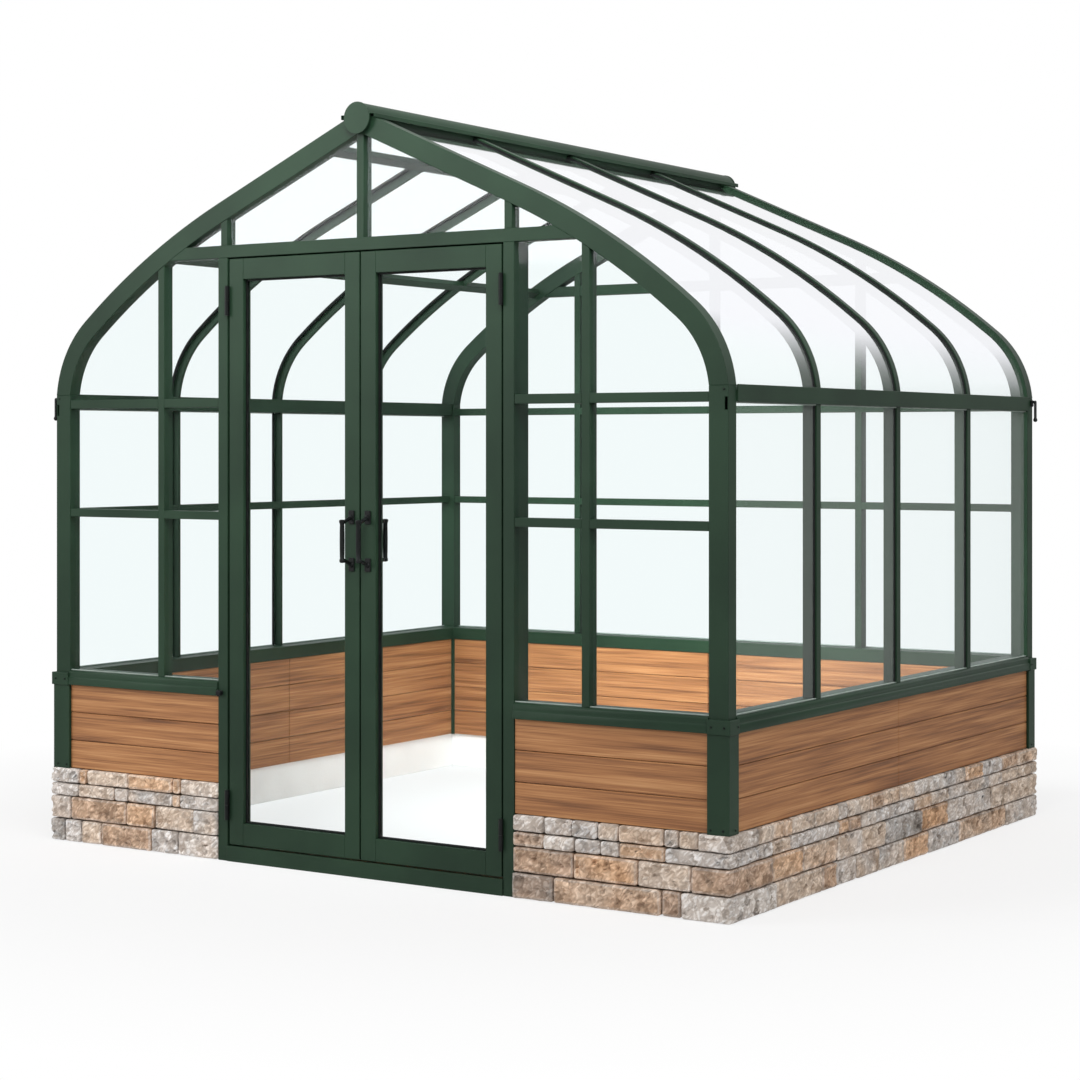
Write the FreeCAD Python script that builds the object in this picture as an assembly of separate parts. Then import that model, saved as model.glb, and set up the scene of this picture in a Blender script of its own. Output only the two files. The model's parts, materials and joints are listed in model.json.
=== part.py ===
import FreeCAD, Part
import math
import os
import random

V = FreeCAD.Vector

# Driving dimensions in mm: X across the gables, Y from the doors to the rear, Z up from the ground
WIDTH = 2743.0
DEPTH = 2438.0
PLINTH_HEIGHT = 258.0
STONE_THICK = 40.0
KERB_THICK = 45.0
FRAME_SETBACK = 15.0

# Levels of the rails
SILL_BOTTOM = 555.0
SILL_TOP = 605.0
MID_BOTTOM = 1150.0
MID_TOP = 1178.0
EAVE_RAIL_BOTTOM = 1532.0
EAVE_RAIL_TOP = 1562.0
POST_TOP = 1580.0
GUTTER_TOP = 1584.0
HEADER_BOTTOM = 2036.0
HEADER_TOP = 2078.0

# Roof outline: straight slope from the ridge, a wide sweep, then a tight bend into the eave
ROOF_SLOPE = 24.0
SWEEP_SLOPE = 40.0
EAVE_SLOPE = 84.0
SWEEP_RADIUS = 2600.0
BEND_RADIUS = 380.0
BEND_FOOT = 1584.0

# Aluminium sections
WALL = 3.0
POST_FACE = 66.0
POST_DEPTH = 50.0
STUD_FACE = 28.0
STUD_DEPTH = 44.0
BAR_FACE = 30.0
BAR_DEPTH = 58.0
LEFT_BAR_DEPTH = 42.0
BAR_STEM = 12.0
JAMB_FACE = 41.0
JAMB_DEPTH = 82.0
GUTTER_LIP = 6.0

# Glazing sheet and its place behind the outer face of the frame
PANE_THICK = 4.0
PANE_SET = 14.0
PANE_EASE = 0.5

# Ridge tube, its hood and end discs
RIDGE_AXIS = 2464.0
RIDGE_RADIUS = 47.0
HOOD_RADIUS = 50.0
HOOD_LIP = 68.0
HOOD_START = 12.0
HOOD_DRIP = 2.0
RIDGE_FRONT_OVERHANG = 12.0
RIDGE_REAR_OVERHANG = 52.0
DISC_RADIUS = 52.0
DISC_THICK = 6.0
FIT_GAP = 0.3

# Wall positions of the studs
FRONT_STUD_X = 862.0
REAR_STUD_X = 654.0
BAY_COUNT = 4

# Double doors
JAMB_OUTER = 602.0
LEAF_OUTER = 554.0
LEAF_INNER = 3.0
LEAF_BOTTOM = 57.0
LEAF_TOP = 2031.0
LEAF_THICK = 40.0
LEAF_SETBACK = 2.0
STILE = 60.0
TOP_RAIL = 70.0
BOTTOM_RAIL = 74.0
THRESHOLD_TOP = 52.0
HINGE_LEVELS = (190.0, 1890.0)
HINGE_HEIGHT = 100.0
KNUCKLE_RADIUS = 7.0
PIN_RADIUS = 3.5
PIN_CLEARANCE = 0.05
PIN_PROUD = 8.0
HANDLE_LEVEL = 1092.0

# Knee wall boards
BOARD_THICK = 12.0
BOARD_JOINT = 2.0
INNER_BOARD_PITCH = 104.0

FRAME_X = WIDTH / 2 - FRAME_SETBACK
FRAME_Y = DEPTH / 2 - FRAME_SETBACK
KERB_X = WIDTH / 2 - STONE_THICK
KERB_Y = DEPTH / 2 - STONE_THICK
INNER_X = KERB_X - KERB_THICK
INNER_Y = KERB_Y - KERB_THICK
POST_X = FRAME_X - POST_FACE
POST_Y = FRAME_Y - POST_DEPTH
BAR_YS = [FRAME_Y * (2.0 * k / BAY_COUNT - 1.0) for k in range(1, BAY_COUNT)]
PIN_X = (LEAF_OUTER + JAMB_OUTER - JAMB_FACE) / 2
ridge_front = -FRAME_Y - RIDGE_FRONT_OVERHANG
ridge_rear = FRAME_Y + RIDGE_REAR_OVERHANG

os.makedirs("parts", exist_ok=True)


def save(name, shapes):
    shape = shapes[0] if len(shapes) == 1 else Part.makeCompound(shapes)
    shape.exportStep("parts/" + name + ".step")


def block(x0, x1, y0, y1, z0, z1):
    return Part.makeBox(abs(x1 - x0), abs(y1 - y0), abs(z1 - z0),
                        V(min(x0, x1), min(y0, y1), min(z0, z1)))


def tube(x0, x1, y0, y1, z0, z1, along):
    # box section with open ends along the named axis
    skin = [0.0 if axis == along else WALL for axis in "xyz"]
    outer = block(x0, x1, y0, y1, z0, z1)
    a, b = sorted((x0, x1)), sorted((y0, y1))
    hollow = block(a[0] + skin[0], a[1] - skin[0], b[0] + skin[1], b[1] - skin[1], z0 + skin[2], z1 - skin[2])
    return outer.cut(hollow)


def prism(points, sweep):
    face = Part.Face(Part.makePolygon(points + [points[0]]))
    return face.extrude(sweep)


def mirror_x(shape):
    return shape.mirror(V(0, 0, 0), V(1, 0, 0))


def mirror_y(shape):
    return shape.mirror(V(0, 0, 0), V(0, 1, 0))


def rod(a, b, radius, sides=0):
    # round bar from a to b, many-sided where it is small and fits nothing
    if not sides:
        return Part.makeCylinder(radius, (b - a).Length, a, b - a)
    axis = (b - a).normalize()
    across = axis.cross(V(0.31, 0.72, 0.62)).normalize()
    other = axis.cross(across)
    turns = [2 * math.pi * k / sides for k in range(sides)]
    return prism([a + across * (radius * math.cos(t)) + other * (radius * math.sin(t)) for t in turns], b - a)


def fused(shapes):
    return shapes[0].multiFuse(shapes[1:]).removeSplitter()


# Roof outline at a given inward offset, right half

def slope_normal(angle):
    return V(math.sin(math.radians(angle)), 0, math.cos(math.radians(angle)))


BEND_CENTRE = V(FRAME_X, 0, BEND_FOOT) - slope_normal(EAVE_SLOPE) * BEND_RADIUS
SWEEP_CENTRE = BEND_CENTRE + slope_normal(SWEEP_SLOPE) * (BEND_RADIUS - SWEEP_RADIUS)


def bend_point(angle, inset):
    return BEND_CENTRE + slope_normal(angle) * (BEND_RADIUS - inset)


def sweep_point(angle, inset):
    return SWEEP_CENTRE + slope_normal(angle) * (SWEEP_RADIUS - inset)


def outline(inset, tail):
    # edges from the tail below the eave up to the ridge plane at X = 0
    eave = bend_point(EAVE_SLOPE, inset)
    fall = V(math.cos(math.radians(EAVE_SLOPE)), 0, -math.sin(math.radians(EAVE_SLOPE)))
    knee = bend_point(SWEEP_SLOPE, inset)
    start = sweep_point(ROOF_SLOPE, inset)
    ridge = V(0, 0, start.z + start.x * math.tan(math.radians(ROOF_SLOPE)))
    foot = eave + fall * tail
    edges = [
        Part.LineSegment(foot, eave).toShape(),
        Part.Arc(eave, bend_point((EAVE_SLOPE + SWEEP_SLOPE) / 2, inset), knee).toShape(),
        Part.Arc(knee, sweep_point((SWEEP_SLOPE + ROOF_SLOPE) / 2, inset), start).toShape(),
        Part.LineSegment(start, ridge).toShape(),
    ]
    return foot, ridge, edges


def roof_band(inset_a, inset_b, y0, y1, tail=60.0):
    foot_a, ridge_a, edges_a = outline(inset_a, tail)
    foot_b, ridge_b, edges_b = outline(inset_b, tail)
    closing = [Part.LineSegment(ridge_a, ridge_b).toShape(), Part.LineSegment(foot_a, foot_b).toShape()]
    wire = Part.Wire(Part.__sortEdges__(edges_a + edges_b + closing))
    band = Part.Face(wire).extrude(V(0, y1 - y0, 0))
    band.translate(V(0, y0, 0))
    return band


def under_roof(inset, y0, y1):
    # the half gable space below the outline, right side
    foot, ridge, edges = outline(inset, 60.0)
    corner = V(foot.x, 0, 0)
    closing = [
        Part.LineSegment(ridge, V(0, 0, 0)).toShape(),
        Part.LineSegment(V(0, 0, 0), corner).toShape(),
        Part.LineSegment(corner, foot).toShape(),
    ]
    space = Part.Face(Part.Wire(Part.__sortEdges__(edges + closing))).extrude(V(0, y1 - y0, 0))
    space.translate(V(0, y0, 0))
    return space


def ridge_core(radius):
    return Part.makeCylinder(radius, ridge_rear - ridge_front, V(0, ridge_front, RIDGE_AXIS), V(0, 1, 0))


def above(shape, level):
    return shape.cut(block(-WIDTH, WIDTH, -DEPTH, DEPTH, 0, level))


RIDGE_CLEAR = ridge_core(RIDGE_RADIUS + FIT_GAP)

# Concrete kerb behind the stones

kerb_side = block(INNER_X, KERB_X, -KERB_Y, KERB_Y, 0, PLINTH_HEIGHT)
kerb_front = block(JAMB_OUTER, INNER_X, -KERB_Y, -INNER_Y, 0, PLINTH_HEIGHT)
kerb_rear = block(-INNER_X, INNER_X, INNER_Y, KERB_Y, 0, PLINTH_HEIGHT)
save("kerb", [kerb_side, mirror_x(kerb_side), kerb_front, mirror_x(kerb_front), kerb_rear])

# Dry stone facing, four courses, with L-shaped stones bonded round the corners

STONE_LIFT = 2.0
STONE_JOINT = 5.0
STONE_TAPER = 4.0
STONE_RECESS = 7.0
COURSE_SHARES = (0.315, 0.315, 0.18, 0.19)
BACK_SIZES = ((210.0, 430.0), (140.0, 330.0))
FRONT_LEFT_JOINTS = ((.085, .185, .309, .613, .772), (.121, .465, .633, .860),
                     (.169, .389, .469, .736, .780), (.173, .217, .469, .736, .784))
FRONT_RIGHT_JOINTS = ((.195, .690, .779), (.288, .584, .823),
                      (.146, .292, .412, .5, .708), (.146, .279, .398, .496, .699, .765, .854))
RIGHT_JOINTS = ((.253, .297, .357, .426, .508, .59, .697), (.2, .297, .37, .447, .566, .661, .818),
                (.119, .168, .305, .331, .37, .417, .541, .6, .661, .81, .86),
                (.119, .15, .171, .232, .302, .33, .399, .44, .496, .549, .656, .726, .788, .86))
REAR_ARMS = (190.0, 140.0, 230.0, 160.0)
SIDE_ARMS = (302.0, 277.0, 144.0, 185.0)


def course_levels():
    level = STONE_LIFT
    levels = []
    for share in COURSE_SHARES:
        rise = share * (PLINTH_HEIGHT - STONE_LIFT)
        top = level + rise
        levels.append((level, top if top > PLINTH_HEIGHT - STONE_JOINT else top - STONE_JOINT))
        level = top
    return levels


def stone(u0, u1, z0, z1, face, recess):
    # one block facing -Y, tapered so that the joints open towards the front
    e = STONE_TAPER
    return Part.makeWedge(u0 + e, -face + recess, z0 + e, z0, u0, u1 - e, -face + STONE_THICK, z1 - e, z1, u1)


def corner_stone(arm, side_arm, z0, z1):
    # the L-shaped stone of one course round the front right corner
    x, y = WIDTH / 2, -DEPTH / 2
    back_x, back_y = x - STONE_THICK, y + STONE_THICK
    plan = [V(x - arm, y, z0), V(x, y, z0), V(x, y + side_arm, z0),
            V(back_x, y + side_arm, z0), V(back_x, back_y, z0), V(x - arm, back_y, z0)]
    return prism(plan, V(0, 0, z1 - z0))


def random_joints(rng, start, end, sizes):
    joints = [start]
    at = start + rng.uniform(*sizes)
    while at < end - sizes[0]:
        joints.append(at)
        at += rng.uniform(*sizes)
    return joints + [end]


def stone_run(rng, joints, z0, z1, face):
    half = STONE_JOINT / 2
    return [stone(a + half, b - half, z0, z1, face, rng.uniform(0.0, STONE_RECESS))
            for a, b in zip(joints[:-1], joints[1:])]


def stone_wall(seed, length, face, corner_arms, turn, shares=None):
    # the stones between the two corner stones of each course, joints as shares of the length or at random
    rng = random.Random(seed)
    stones = []
    for course, (z0, z1) in enumerate(course_levels()):
        reach = length / 2 - corner_arms[course] - STONE_JOINT / 2
        if shares:
            joints = [-reach] + [(share - 0.5) * length for share in shares[course]] + [reach]
        else:
            joints = random_joints(rng, -reach, reach, BACK_SIZES[course // 2])
        stones += stone_run(rng, joints, z0, z1, face)
    for piece in stones:
        piece.rotate(V(0, 0, 0), V(0, 0, 1), turn)
    return stones


def front_stones():
    rng = random.Random(3)
    half = STONE_JOINT / 2
    length = WIDTH / 2 - JAMB_OUTER
    stones = []
    for course, (z0, z1) in enumerate(course_levels()):
        left = [-WIDTH / 2 + share * length for share in FRONT_LEFT_JOINTS[course]] + [half - JAMB_OUTER]
        right = [JAMB_OUTER - half] + [JAMB_OUTER + share * length for share in FRONT_RIGHT_JOINTS[course]]
        stones += stone_run(rng, left, z0, z1, DEPTH / 2) + stone_run(rng, right, z0, z1, DEPTH / 2)
        stones.append(mirror_x(corner_stone(WIDTH / 2 + left[0] - half, SIDE_ARMS[course], z0, z1)))
        stones.append(corner_stone(WIDTH / 2 - right[-1] - half, SIDE_ARMS[course], z0, z1))
    return stones


def rear_stones():
    stones = stone_wall(12, WIDTH, DEPTH / 2, REAR_ARMS, 180)
    for arm, side_arm, (z0, z1) in zip(REAR_ARMS, SIDE_ARMS, course_levels()):
        corner = mirror_y(corner_stone(arm, side_arm, z0, z1))
        stones += [corner, mirror_x(corner)]
    return stones


save("stones_front", front_stones())
save("stones_right", stone_wall(11, DEPTH, WIDTH / 2, SIDE_ARMS, 90, RIGHT_JOINTS))
save("stones_rear", rear_stones())
save("stones_left", stone_wall(13, DEPTH, WIDTH / 2, SIDE_ARMS, -90))

# Wood-look boards of the knee wall, three rows outside and four inside

OUTER_ROWS = 3
INNER_ROWS = 4
OUTER_BOARD_FACE = 4.0
OUTER_PITCH = (SILL_BOTTOM - PLINTH_HEIGHT) / OUTER_ROWS


def board_rows(rows, pitch, x0, x1, y0, y1):
    boards = []
    for row in range(rows):
        top = SILL_BOTTOM - row * pitch
        boards.append(block(x0, x1, y0, y1, top - pitch + BOARD_JOINT, top))
    return boards


def outer_boards():
    face = FRAME_Y - OUTER_BOARD_FACE
    back = face - BOARD_THICK
    front = board_rows(OUTER_ROWS, OUTER_PITCH, JAMB_OUTER, POST_X, -face, -back)
    rear = board_rows(OUTER_ROWS, OUTER_PITCH, BOARD_JOINT / 2, POST_X, back, face)
    face = FRAME_X - OUTER_BOARD_FACE
    back = face - BOARD_THICK
    half = board_rows(OUTER_ROWS, OUTER_PITCH, back, face, BOARD_JOINT / 2, POST_Y)
    return front, half + [mirror_y(b) for b in half], rear


def inner_boards():
    front = board_rows(INNER_ROWS, INNER_BOARD_PITCH, JAMB_OUTER, INNER_X, -INNER_Y, -INNER_Y + BOARD_THICK)
    rear = board_rows(INNER_ROWS, INNER_BOARD_PITCH, BOARD_JOINT / 2, INNER_X, INNER_Y - BOARD_THICK, INNER_Y)
    reach = INNER_Y - BOARD_THICK
    half = board_rows(INNER_ROWS, INNER_BOARD_PITCH, INNER_X - BOARD_THICK, INNER_X, BOARD_JOINT / 2, reach)
    return front, half + [mirror_y(b) for b in half], rear


for name, (front, side, rear) in (("outer", outer_boards()), ("inner", inner_boards())):
    save(name + "_boards_front", front + [mirror_x(b) for b in front])
    save(name + "_boards_sides", side + [mirror_x(b) for b in side])
    save(name + "_boards_rear", rear + [mirror_x(b) for b in rear])

# Hidden studs that carry the sill over the kerb

KNEE_FACE = 40.0
KNEE_FRONT = 18.0
KNEE_DEPTH = 46.0


def knee_studs():
    near = FRAME_X - KNEE_FRONT
    side = [block(near - KNEE_DEPTH, near, y - KNEE_FACE / 2, y + KNEE_FACE / 2, PLINTH_HEIGHT, SILL_BOTTOM)
            for y in BAR_YS]
    near = FRAME_Y - KNEE_FRONT
    front = [block(x - KNEE_FACE / 2, x + KNEE_FACE / 2, -near, -near + KNEE_DEPTH, PLINTH_HEIGHT, SILL_BOTTOM)
             for x in (-FRONT_STUD_X, FRONT_STUD_X)]
    rear = [block(x - KNEE_FACE / 2, x + KNEE_FACE / 2, near - KNEE_DEPTH, near, PLINTH_HEIGHT, SILL_BOTTOM)
            for x in (-REAR_STUD_X, 0.0, REAR_STUD_X)]
    return side + [mirror_x(s) for s in side] + front + rear


save("knee_studs", knee_studs())

# Corner posts with their lower trims, the angles in the inner corners, sill collars and screws

SLOT_WIDTH = 9.0
SLOT_TOP = 1546.0
SLOT_LENGTH = 38.0
TRIM_THICK = 7.0
TRIM_FRONT_LEG = 75.0
TRIM_SIDE_LEG = 60.0
COLLAR_THICK = 12.0
INNER_TRIM_LEG = 12.0
INNER_TRIM_THICK = 2.0
COLLAR_BOTTOM = 553.0
COLLAR_TOP = 597.0

front_post = tube(POST_X, FRAME_X, -FRAME_Y, -POST_Y, PLINTH_HEIGHT, POST_TOP, "z")
slot = block(FRAME_X - WALL - SLOT_WIDTH, FRAME_X - WALL, -FRAME_Y, -FRAME_Y + WALL,
             SLOT_TOP - SLOT_LENGTH, SLOT_TOP)
front_post = front_post.cut(slot)
rear_post = tube(POST_X, FRAME_X, POST_Y, FRAME_Y, PLINTH_HEIGHT, POST_TOP, "z")
save("posts_front", [front_post, mirror_x(front_post)])
save("posts_rear", [rear_post, mirror_x(rear_post)])


def corner_angle(thick, front_end, side_end, z0, z1):
    # an L round the outer corner of the front right post
    front = block(front_end, FRAME_X + thick, -FRAME_Y - thick, -FRAME_Y, z0, z1)
    side = block(FRAME_X, FRAME_X + thick, -FRAME_Y, -side_end, z0, z1)
    return fused([front, side])


def four_corners(shapes):
    right = shapes + [mirror_y(s) for s in shapes]
    return right + [mirror_x(s) for s in right]


trim = corner_angle(TRIM_THICK, FRAME_X + TRIM_THICK - TRIM_FRONT_LEG, FRAME_Y + TRIM_THICK - TRIM_SIDE_LEG,
                    PLINTH_HEIGHT, COLLAR_BOTTOM)
collar = corner_angle(COLLAR_THICK, POST_X, POST_Y, COLLAR_BOTTOM, COLLAR_TOP)
inner_x, inner_y = INNER_X - BOARD_THICK, BOARD_THICK - INNER_Y
inner_foot = SILL_BOTTOM - INNER_ROWS * INNER_BOARD_PITCH
inner_trim = fused([
    block(inner_x - INNER_TRIM_LEG, inner_x, inner_y, inner_y + INNER_TRIM_THICK, inner_foot, SILL_BOTTOM),
    block(inner_x - INNER_TRIM_THICK, inner_x, inner_y, inner_y + INNER_TRIM_LEG, inner_foot, SILL_BOTTOM)])
save("corner_trims", four_corners([trim, inner_trim]))
save("corner_collars", four_corners([collar]))

SCREW_RADIUS = 4.5
SCREW_HEAD = 2.5
SCREW_SIDES = 6


def frame_screws():
    level = (COLLAR_BOTTOM + COLLAR_TOP) / 2
    screws = []
    for x in (POST_X + 14, FRAME_X - 8):
        screws.append((V(x, -FRAME_Y - COLLAR_THICK, level), V(0, -SCREW_HEAD, 0)))
    screws.append((V(FRAME_X + COLLAR_THICK, -POST_Y - 12, level), V(SCREW_HEAD, 0, 0)))
    screws.append((V(FRAME_X - 14, -FRAME_Y, POST_TOP - 12), V(0, -SCREW_HEAD, 0)))
    return [rod(at, at + out, SCREW_RADIUS, SCREW_SIDES) for at, out in screws]


save("frame_screws", four_corners(frame_screws()))

# Sill rails with a stepped outer bead, also the inner window board

SILL_BEAD = 10.0
SILL_STEP = 6.0
SILL_INNER_LAP = 4.0


def sill_profile(face, inner, place):
    steps = [(face + SILL_BEAD, SILL_BOTTOM), (face + SILL_BEAD, SILL_BOTTOM + 24), (face + SILL_STEP, SILL_BOTTOM + 28),
             (face + SILL_STEP, SILL_TOP - 6), (face, SILL_TOP), (inner, SILL_TOP), (inner, SILL_BOTTOM)]
    return [place(out, z) for out, z in steps]


def hollow_sill(profile, sweep, hollow):
    return prism(profile, sweep).cut(hollow)


sill_inner_x = INNER_X - BOARD_THICK - SILL_INNER_LAP
sill_inner_y = INNER_Y - BOARD_THICK - SILL_INNER_LAP
side_sill = hollow_sill(
    sill_profile(FRAME_X, sill_inner_x, lambda out, z: V(out, -POST_Y, z)), V(0, 2 * POST_Y, 0),
    block(sill_inner_x + WALL, FRAME_X - WALL, -POST_Y, POST_Y, SILL_BOTTOM + WALL, SILL_TOP - WALL))
corner_clear = block(sill_inner_x, WIDTH, 0, -POST_Y, SILL_BOTTOM, SILL_TOP)
front_sill = hollow_sill(
    sill_profile(FRAME_Y, sill_inner_y, lambda out, z: V(JAMB_OUTER, -out, z)), V(POST_X - JAMB_OUTER, 0, 0),
    block(JAMB_OUTER, POST_X, -FRAME_Y + WALL, -sill_inner_y - WALL, SILL_BOTTOM + WALL, SILL_TOP - WALL))
front_sill = front_sill.cut(corner_clear)
rear_sill = hollow_sill(
    sill_profile(FRAME_Y, sill_inner_y, lambda out, z: V(-POST_X, out, z)), V(2 * POST_X, 0, 0),
    block(-POST_X, POST_X, sill_inner_y + WALL, FRAME_Y - WALL, SILL_BOTTOM + WALL, SILL_TOP - WALL))
rear_sill = rear_sill.cut(fused([mirror_y(corner_clear), mirror_x(mirror_y(corner_clear))]))
save("sill_front", [front_sill, mirror_x(front_sill)])
save("sill_sides", [side_sill, mirror_x(side_sill)])
save("sill_rear", [rear_sill])

# Gable arches in two halves that butt on the ridge tube


def arch_half(y0):
    return above(roof_band(0.0, POST_FACE, y0, y0 + POST_DEPTH).cut(RIDGE_CLEAR), POST_TOP)


for end, y0 in (("front", -FRAME_Y), ("rear", POST_Y)):
    half = arch_half(y0)
    save("arch_" + end + "_right", [half])
    save("arch_" + end + "_left", [mirror_x(half)])

# Curved roof bars and upright wall bars: a flat cap outside the sheets on a deep stem between them.
# Left bars are slimmer, because rails and purlins tie them

BAR_CAP_SET = 4.0
CAP_BACK = PANE_SET - FIT_GAP


def roof_bar(y, depth):
    cap = roof_band(BAR_CAP_SET, CAP_BACK, y - BAR_FACE / 2, y + BAR_FACE / 2)
    stem = roof_band(CAP_BACK, depth, y - BAR_STEM / 2, y + BAR_STEM / 2)
    return above(fused([cap, stem]).cut(RIDGE_CLEAR), GUTTER_TOP)


def wall_bar(y, depth):
    cap = block(FRAME_X - CAP_BACK, FRAME_X - BAR_CAP_SET, y - BAR_FACE / 2, y + BAR_FACE / 2,
                SILL_TOP, EAVE_RAIL_BOTTOM)
    stem = block(FRAME_X - depth, FRAME_X - CAP_BACK, y - BAR_STEM / 2, y + BAR_STEM / 2,
                 SILL_TOP, EAVE_RAIL_BOTTOM)
    return fused([cap, stem])


save("roof_bars_right", [roof_bar(y, BAR_DEPTH) for y in BAR_YS])
save("roof_bars_left", [mirror_x(roof_bar(y, LEFT_BAR_DEPTH)) for y in BAR_YS])
save("wall_bars_right", [wall_bar(y, BAR_DEPTH) for y in BAR_YS])
save("wall_bars_left", [mirror_x(wall_bar(y, LEFT_BAR_DEPTH)) for y in BAR_YS])

# Purlins under the left slope between its bars: slope there, and way up the straight slope from its foot

PURLINS = ((30.7, 0.0), (ROOF_SLOPE, 464.0))
PURLIN_SET = 20.0
PURLIN_FACE = 40.0
bay_marks = [-POST_Y - BAR_STEM / 2] + BAR_YS + [POST_Y + BAR_STEM / 2]
bays = [(a + BAR_STEM / 2, b - BAR_STEM / 2) for a, b in zip(bay_marks[:-1], bay_marks[1:])]


def purlin(slope, way_up, y0, y1):
    up = V(-math.cos(math.radians(slope)), 0, math.sin(math.radians(slope)))
    inward = slope_normal(slope) * (PURLIN_SET - LEFT_BAR_DEPTH)
    low = sweep_point(slope, PURLIN_SET) + up * (way_up - PURLIN_FACE / 2)
    high = low + up * PURLIN_FACE
    section = [V(p.x, y0, p.z) for p in (low, high, high + inward, low + inward)]
    return mirror_x(prism(section, V(0, y1 - y0, 0)))


save("roof_purlins", [purlin(slope, way_up, y0, y1) for slope, way_up in PURLINS for y0, y1 in bays])

# Eave gutters with an open channel, and a drain spout at one end of each

CHANNEL_IN = 24.0
CHANNEL_FLOOR = 1552.0
CHANNEL_END_TOP = 1567.0
GUTTER_SKIN = 4.0


def gutter():
    x_in, x_out = FRAME_X - BAR_DEPTH, FRAME_X + GUTTER_LIP
    profile = [(x_in, EAVE_RAIL_BOTTOM), (x_out, EAVE_RAIL_BOTTOM), (x_out, GUTTER_TOP),
               (x_out - GUTTER_SKIN, GUTTER_TOP), (x_out - GUTTER_SKIN, CHANNEL_FLOOR),
               (FRAME_X - CHANNEL_IN, CHANNEL_FLOOR), (FRAME_X - CHANNEL_IN, GUTTER_TOP), (x_in, GUTTER_TOP)]
    beam = prism([V(x, -POST_Y, z) for x, z in profile], V(0, 2 * POST_Y, 0))
    box = block(x_in + WALL, FRAME_X - CHANNEL_IN - WALL, -POST_Y, POST_Y, EAVE_RAIL_BOTTOM + WALL, GUTTER_TOP - WALL)
    under = block(FRAME_X - CHANNEL_IN, x_out - GUTTER_SKIN, -POST_Y, POST_Y,
                  EAVE_RAIL_BOTTOM + WALL, CHANNEL_FLOOR - WALL)
    end = block(x_in, x_out, -POST_Y, -POST_Y + WALL, EAVE_RAIL_BOTTOM, CHANNEL_END_TOP)
    return fused([beam.cut(box).cut(under), end, mirror_y(end)])


right_gutter = gutter()
save("gutter_right", [right_gutter])
save("gutter_left", [mirror_x(right_gutter)])

SPOUT_RADIUS = 7.0
SPOUT_BORE = 5.0
SPOUT_REACH = 17.0
SPOUT_LEVEL = 1568.0
SPOUT_TIP = 1490.0
SPOUT_INSET = 14.0
SPOUT_SIDES = 8


def spout():
    y = FRAME_Y - SPOUT_INSET
    axis = FRAME_X + SPOUT_REACH
    arm = rod(V(FRAME_X, y, SPOUT_LEVEL), V(axis, y, SPOUT_LEVEL), SPOUT_RADIUS, SPOUT_SIDES)
    drop = rod(V(axis, y, SPOUT_TIP), V(axis, y, SPOUT_LEVEL + SPOUT_RADIUS), SPOUT_RADIUS, SPOUT_SIDES)
    bore = rod(V(axis, y, SPOUT_TIP), V(axis, y, SPOUT_LEVEL), SPOUT_BORE, SPOUT_SIDES)
    return fused([arm, drop]).cut(bore)


rear_spout = spout()
save("gutter_spouts", [rear_spout, mirror_x(mirror_y(rear_spout))])

# Ridge tube, half-round hood with turned-down drip lips, and end discs


def ridge_hood():
    inner = RIDGE_RADIUS + FIT_GAP
    skin = HOOD_RADIUS - inner
    lip_z = inner * math.sin(math.radians(HOOD_START))
    lip_top = lip_z + skin
    at_in = math.cos(math.radians(HOOD_START)) * inner
    at_out = math.sqrt(HOOD_RADIUS ** 2 - lip_top ** 2)

    def spot(x, z):
        return V(x, ridge_front, RIDGE_AXIS + z)

    lip = [(at_out, lip_top), (HOOD_LIP, lip_top), (HOOD_LIP, -HOOD_DRIP), (HOOD_LIP - skin, -HOOD_DRIP),
           (HOOD_LIP - skin, lip_z), (at_in, lip_z)]
    edges = [
        Part.Arc(spot(at_out, lip_top), spot(0, HOOD_RADIUS), spot(-at_out, lip_top)).toShape(),
        Part.Arc(spot(at_in, lip_z), spot(0, inner), spot(-at_in, lip_z)).toShape(),
    ]
    for side in (-1, 1):
        for (x0, z0), (x1, z1) in zip(lip[:-1], lip[1:]):
            edges.append(Part.LineSegment(spot(side * x0, z0), spot(side * x1, z1)).toShape())
    wire = Part.Wire(Part.__sortEdges__(edges))
    return Part.Face(wire).extrude(V(0, ridge_rear - ridge_front, 0))


save("ridge_tube", [ridge_core(RIDGE_RADIUS).cut(ridge_core(RIDGE_RADIUS - WALL))])
save("ridge_hood", [ridge_hood()])
discs = [Part.makeCylinder(DISC_RADIUS, DISC_THICK, V(0, y, RIDGE_AXIS), V(0, 1, 0))
         for y in (ridge_front - DISC_THICK, ridge_rear)]
save("ridge_discs", discs)

# Front gable: studs, rails, door jambs, header and threshold

STUD_SET = 2.0
STOP_SIZE = 12.0
STOP_BACK = 2.0
SHORT_STUD_X = (JAMB_OUTER + LEAF_OUTER) / 2
leaf_front = -FRAME_Y + LEAF_SETBACK
leaf_back = leaf_front + LEAF_THICK
stop_front = leaf_back + STOP_BACK
front_space = under_roof(POST_FACE, -FRAME_Y, -FRAME_Y + JAMB_DEPTH).cut(RIDGE_CLEAR)
both_space = fused([front_space, mirror_x(front_space)])


def gable_stud(x, bottom, top=RIDGE_AXIS):
    half = STUD_FACE / 2
    stud = block(x - half, x + half, -FRAME_Y + STUD_SET, -FRAME_Y + STUD_SET + STUD_DEPTH, bottom, top)
    return stud.common(both_space)


def gable_rail(x0, x1, bottom, top):
    return block(x0, x1, -FRAME_Y + STUD_SET, -FRAME_Y + STUD_SET + STUD_DEPTH, bottom, top)


front_stud = gable_stud(FRONT_STUD_X, SILL_TOP)
short_stud = gable_stud(SHORT_STUD_X, HEADER_TOP)
save("front_studs", [front_stud, mirror_x(front_stud), short_stud, mirror_x(short_stud),
                     gable_stud(0.0, HEADER_TOP)])

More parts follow.
